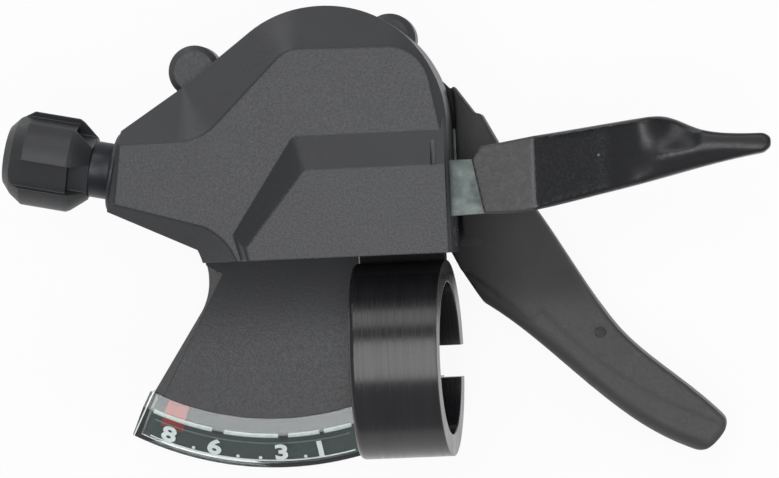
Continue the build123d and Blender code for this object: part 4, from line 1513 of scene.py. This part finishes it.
@dataclass
class Studio:
    """Camera, floor, lamps and world.

    Attributes:
        eye: Where the camera stands, in millimetres.
        floor_half: Half the floor's side in metres.
        floor_gap: How far it lies below the shifter, in metres.
        floor_white: Share of the floor that shows white.
        sky: Colour of the surroundings up to the first step along Y and from the last.
        sky_steps: The two steps.
    """

    eye: Point = (55.83, 17.59, 647.60)
    tilt: float = 5.0
    roll: float = 2.5
    lens: float = 207.3
    floor_half: float = 30.0
    floor_gap: float = 0.0002
    floor_white: float = 0.92
    sky: tuple[Colour, Colour] = ((0.4, 0.4, 0.41), (0.12, 0.12, 0.125))
    sky_steps: Plan = (0.0, 0.9)
    softboxes: tuple[Softbox, ...] = (
        Softbox("key_softbox", (-0.04, 0.03, 0.75), (-0.04, 0.03, 0), (0.34, 0.64), 3.85),
        Softbox("back_softbox", (0.0, 0.64, 0.5), (0, 0.02, 0), (0.6, 0.3), 2.2),
        Softbox("low_softbox", (-0.3, 0.66, 0.1), (0, 0.03, 0), (0.25, 0.16), 4.0),
        Softbox("right_softbox", (0.62, -0.1, 0.36), (0, 0.02, 0), (0.3, 0.4), 1.6),
    )

    def camera(self) -> None:
        """Stand the camera where the photograph was taken from."""
        tilt, roll = math.radians(self.tilt), math.radians(self.roll)
        side = Vector((math.cos(tilt), 0, -math.sin(tilt)))
        up = Vector((0, 1, 0))
        back = Vector((math.sin(tilt), 0, math.cos(tilt)))
        right = side * math.cos(roll) - up * math.sin(roll)
        top = side * math.sin(roll) + up * math.cos(roll)
        place = Matrix((right, top, back)).transposed().to_4x4()
        place.translation = Vector(self.eye) * MM
        data = bpy.data.cameras.new("photo_view")
        data.lens = self.lens
        data.sensor_width = 36.0
        data.clip_start, data.clip_end = 0.01, 100.0
        made = bpy.data.objects.new("photo_view", data)
        made.matrix_world = place
        show(made)
        bpy.context.scene.camera = made

    def floor(self) -> None:
        """Lay a pale floor that shows white, keeps a soft shadow and is clear from below."""
        low = CAD_BOX[0].z - self.floor_gap
        half = self.floor_half
        mesh = bpy.data.meshes.new("floor")
        corners = [(-half, -half, low), (half, -half, low), (half, half, low), (-half, half, low)]
        mesh.from_pydata(corners, [], [(0, 1, 2, 3)])
        made = bpy.data.objects.new("floor", mesh)
        show(made)
        sheet = Shader("floor_paper")
        sheet.wear(base_color=(0.93, 0.93, 0.93, 1), roughness=0.9)
        seen = sheet.node("ShaderNodeLightPath").outputs
        looks = sheet.maths("MAXIMUM", seen["Is Camera Ray"], seen["Is Glossy Ray"])
        looks = sheet.maths("MAXIMUM", looks, seen["Is Transmission Ray"])
        white = sheet.maths("MULTIPLY", looks, self.floor_white)
        glow = sheet.node("ShaderNodeEmission").outputs[0]
        paper = sheet.blend(white, sheet.skin.outputs[0], glow)
        below = sheet.node("ShaderNodeNewGeometry").outputs["Backfacing"]
        clear = sheet.node("ShaderNodeBsdfTransparent").outputs[0]
        sheet.surface(sheet.blend(below, paper, clear))
        mesh.materials.append(sheet.material)

    def world(self) -> None:
        """Surround the scene with a dim studio that gets darker along Y."""
        made = bpy.data.worlds.new("studio")
        bpy.context.scene.world = made
        made.use_nodes = True
        sky = Nodes(made.node_tree)
        way = sky.node("ShaderNodeTexCoord").outputs["Generated"]
        parts = sky.node("ShaderNodeSeparateXYZ", {0: way})
        shades = sky.node("ShaderNodeValToRGB", {"Fac": parts.outputs["Y"]})
        for element, step, tone in zip(shades.color_ramp.elements, self.sky_steps, self.sky):
            element.position = step
            element.color = (*tone, 1)
        ground = made.node_tree.nodes["Background"]
        ground.inputs["Strength"].default_value = 1.0
        sky.join(shades.outputs["Color"], ground.inputs["Color"])

    def build(self) -> None:
        """Set the whole studio."""
        self.camera()
        self.floor()
        for softbox in self.softboxes:
            softbox.hang()
        self.world()
        bpy.context.scene.view_settings.view_transform = "Standard"


def main() -> None:
    """Set the studio, dress the solids, and add the wound, soft and printed pieces."""
    logging.basicConfig(level=logging.INFO, format="%(name)s: %(message)s")
    Studio().build()
    shop = Workshop()
    shop.dress_solids()
    Springs().build(shop)
    Mouldings().build(shop)
    Scale().build(shop)


if __name__ == "__main__":
    main()
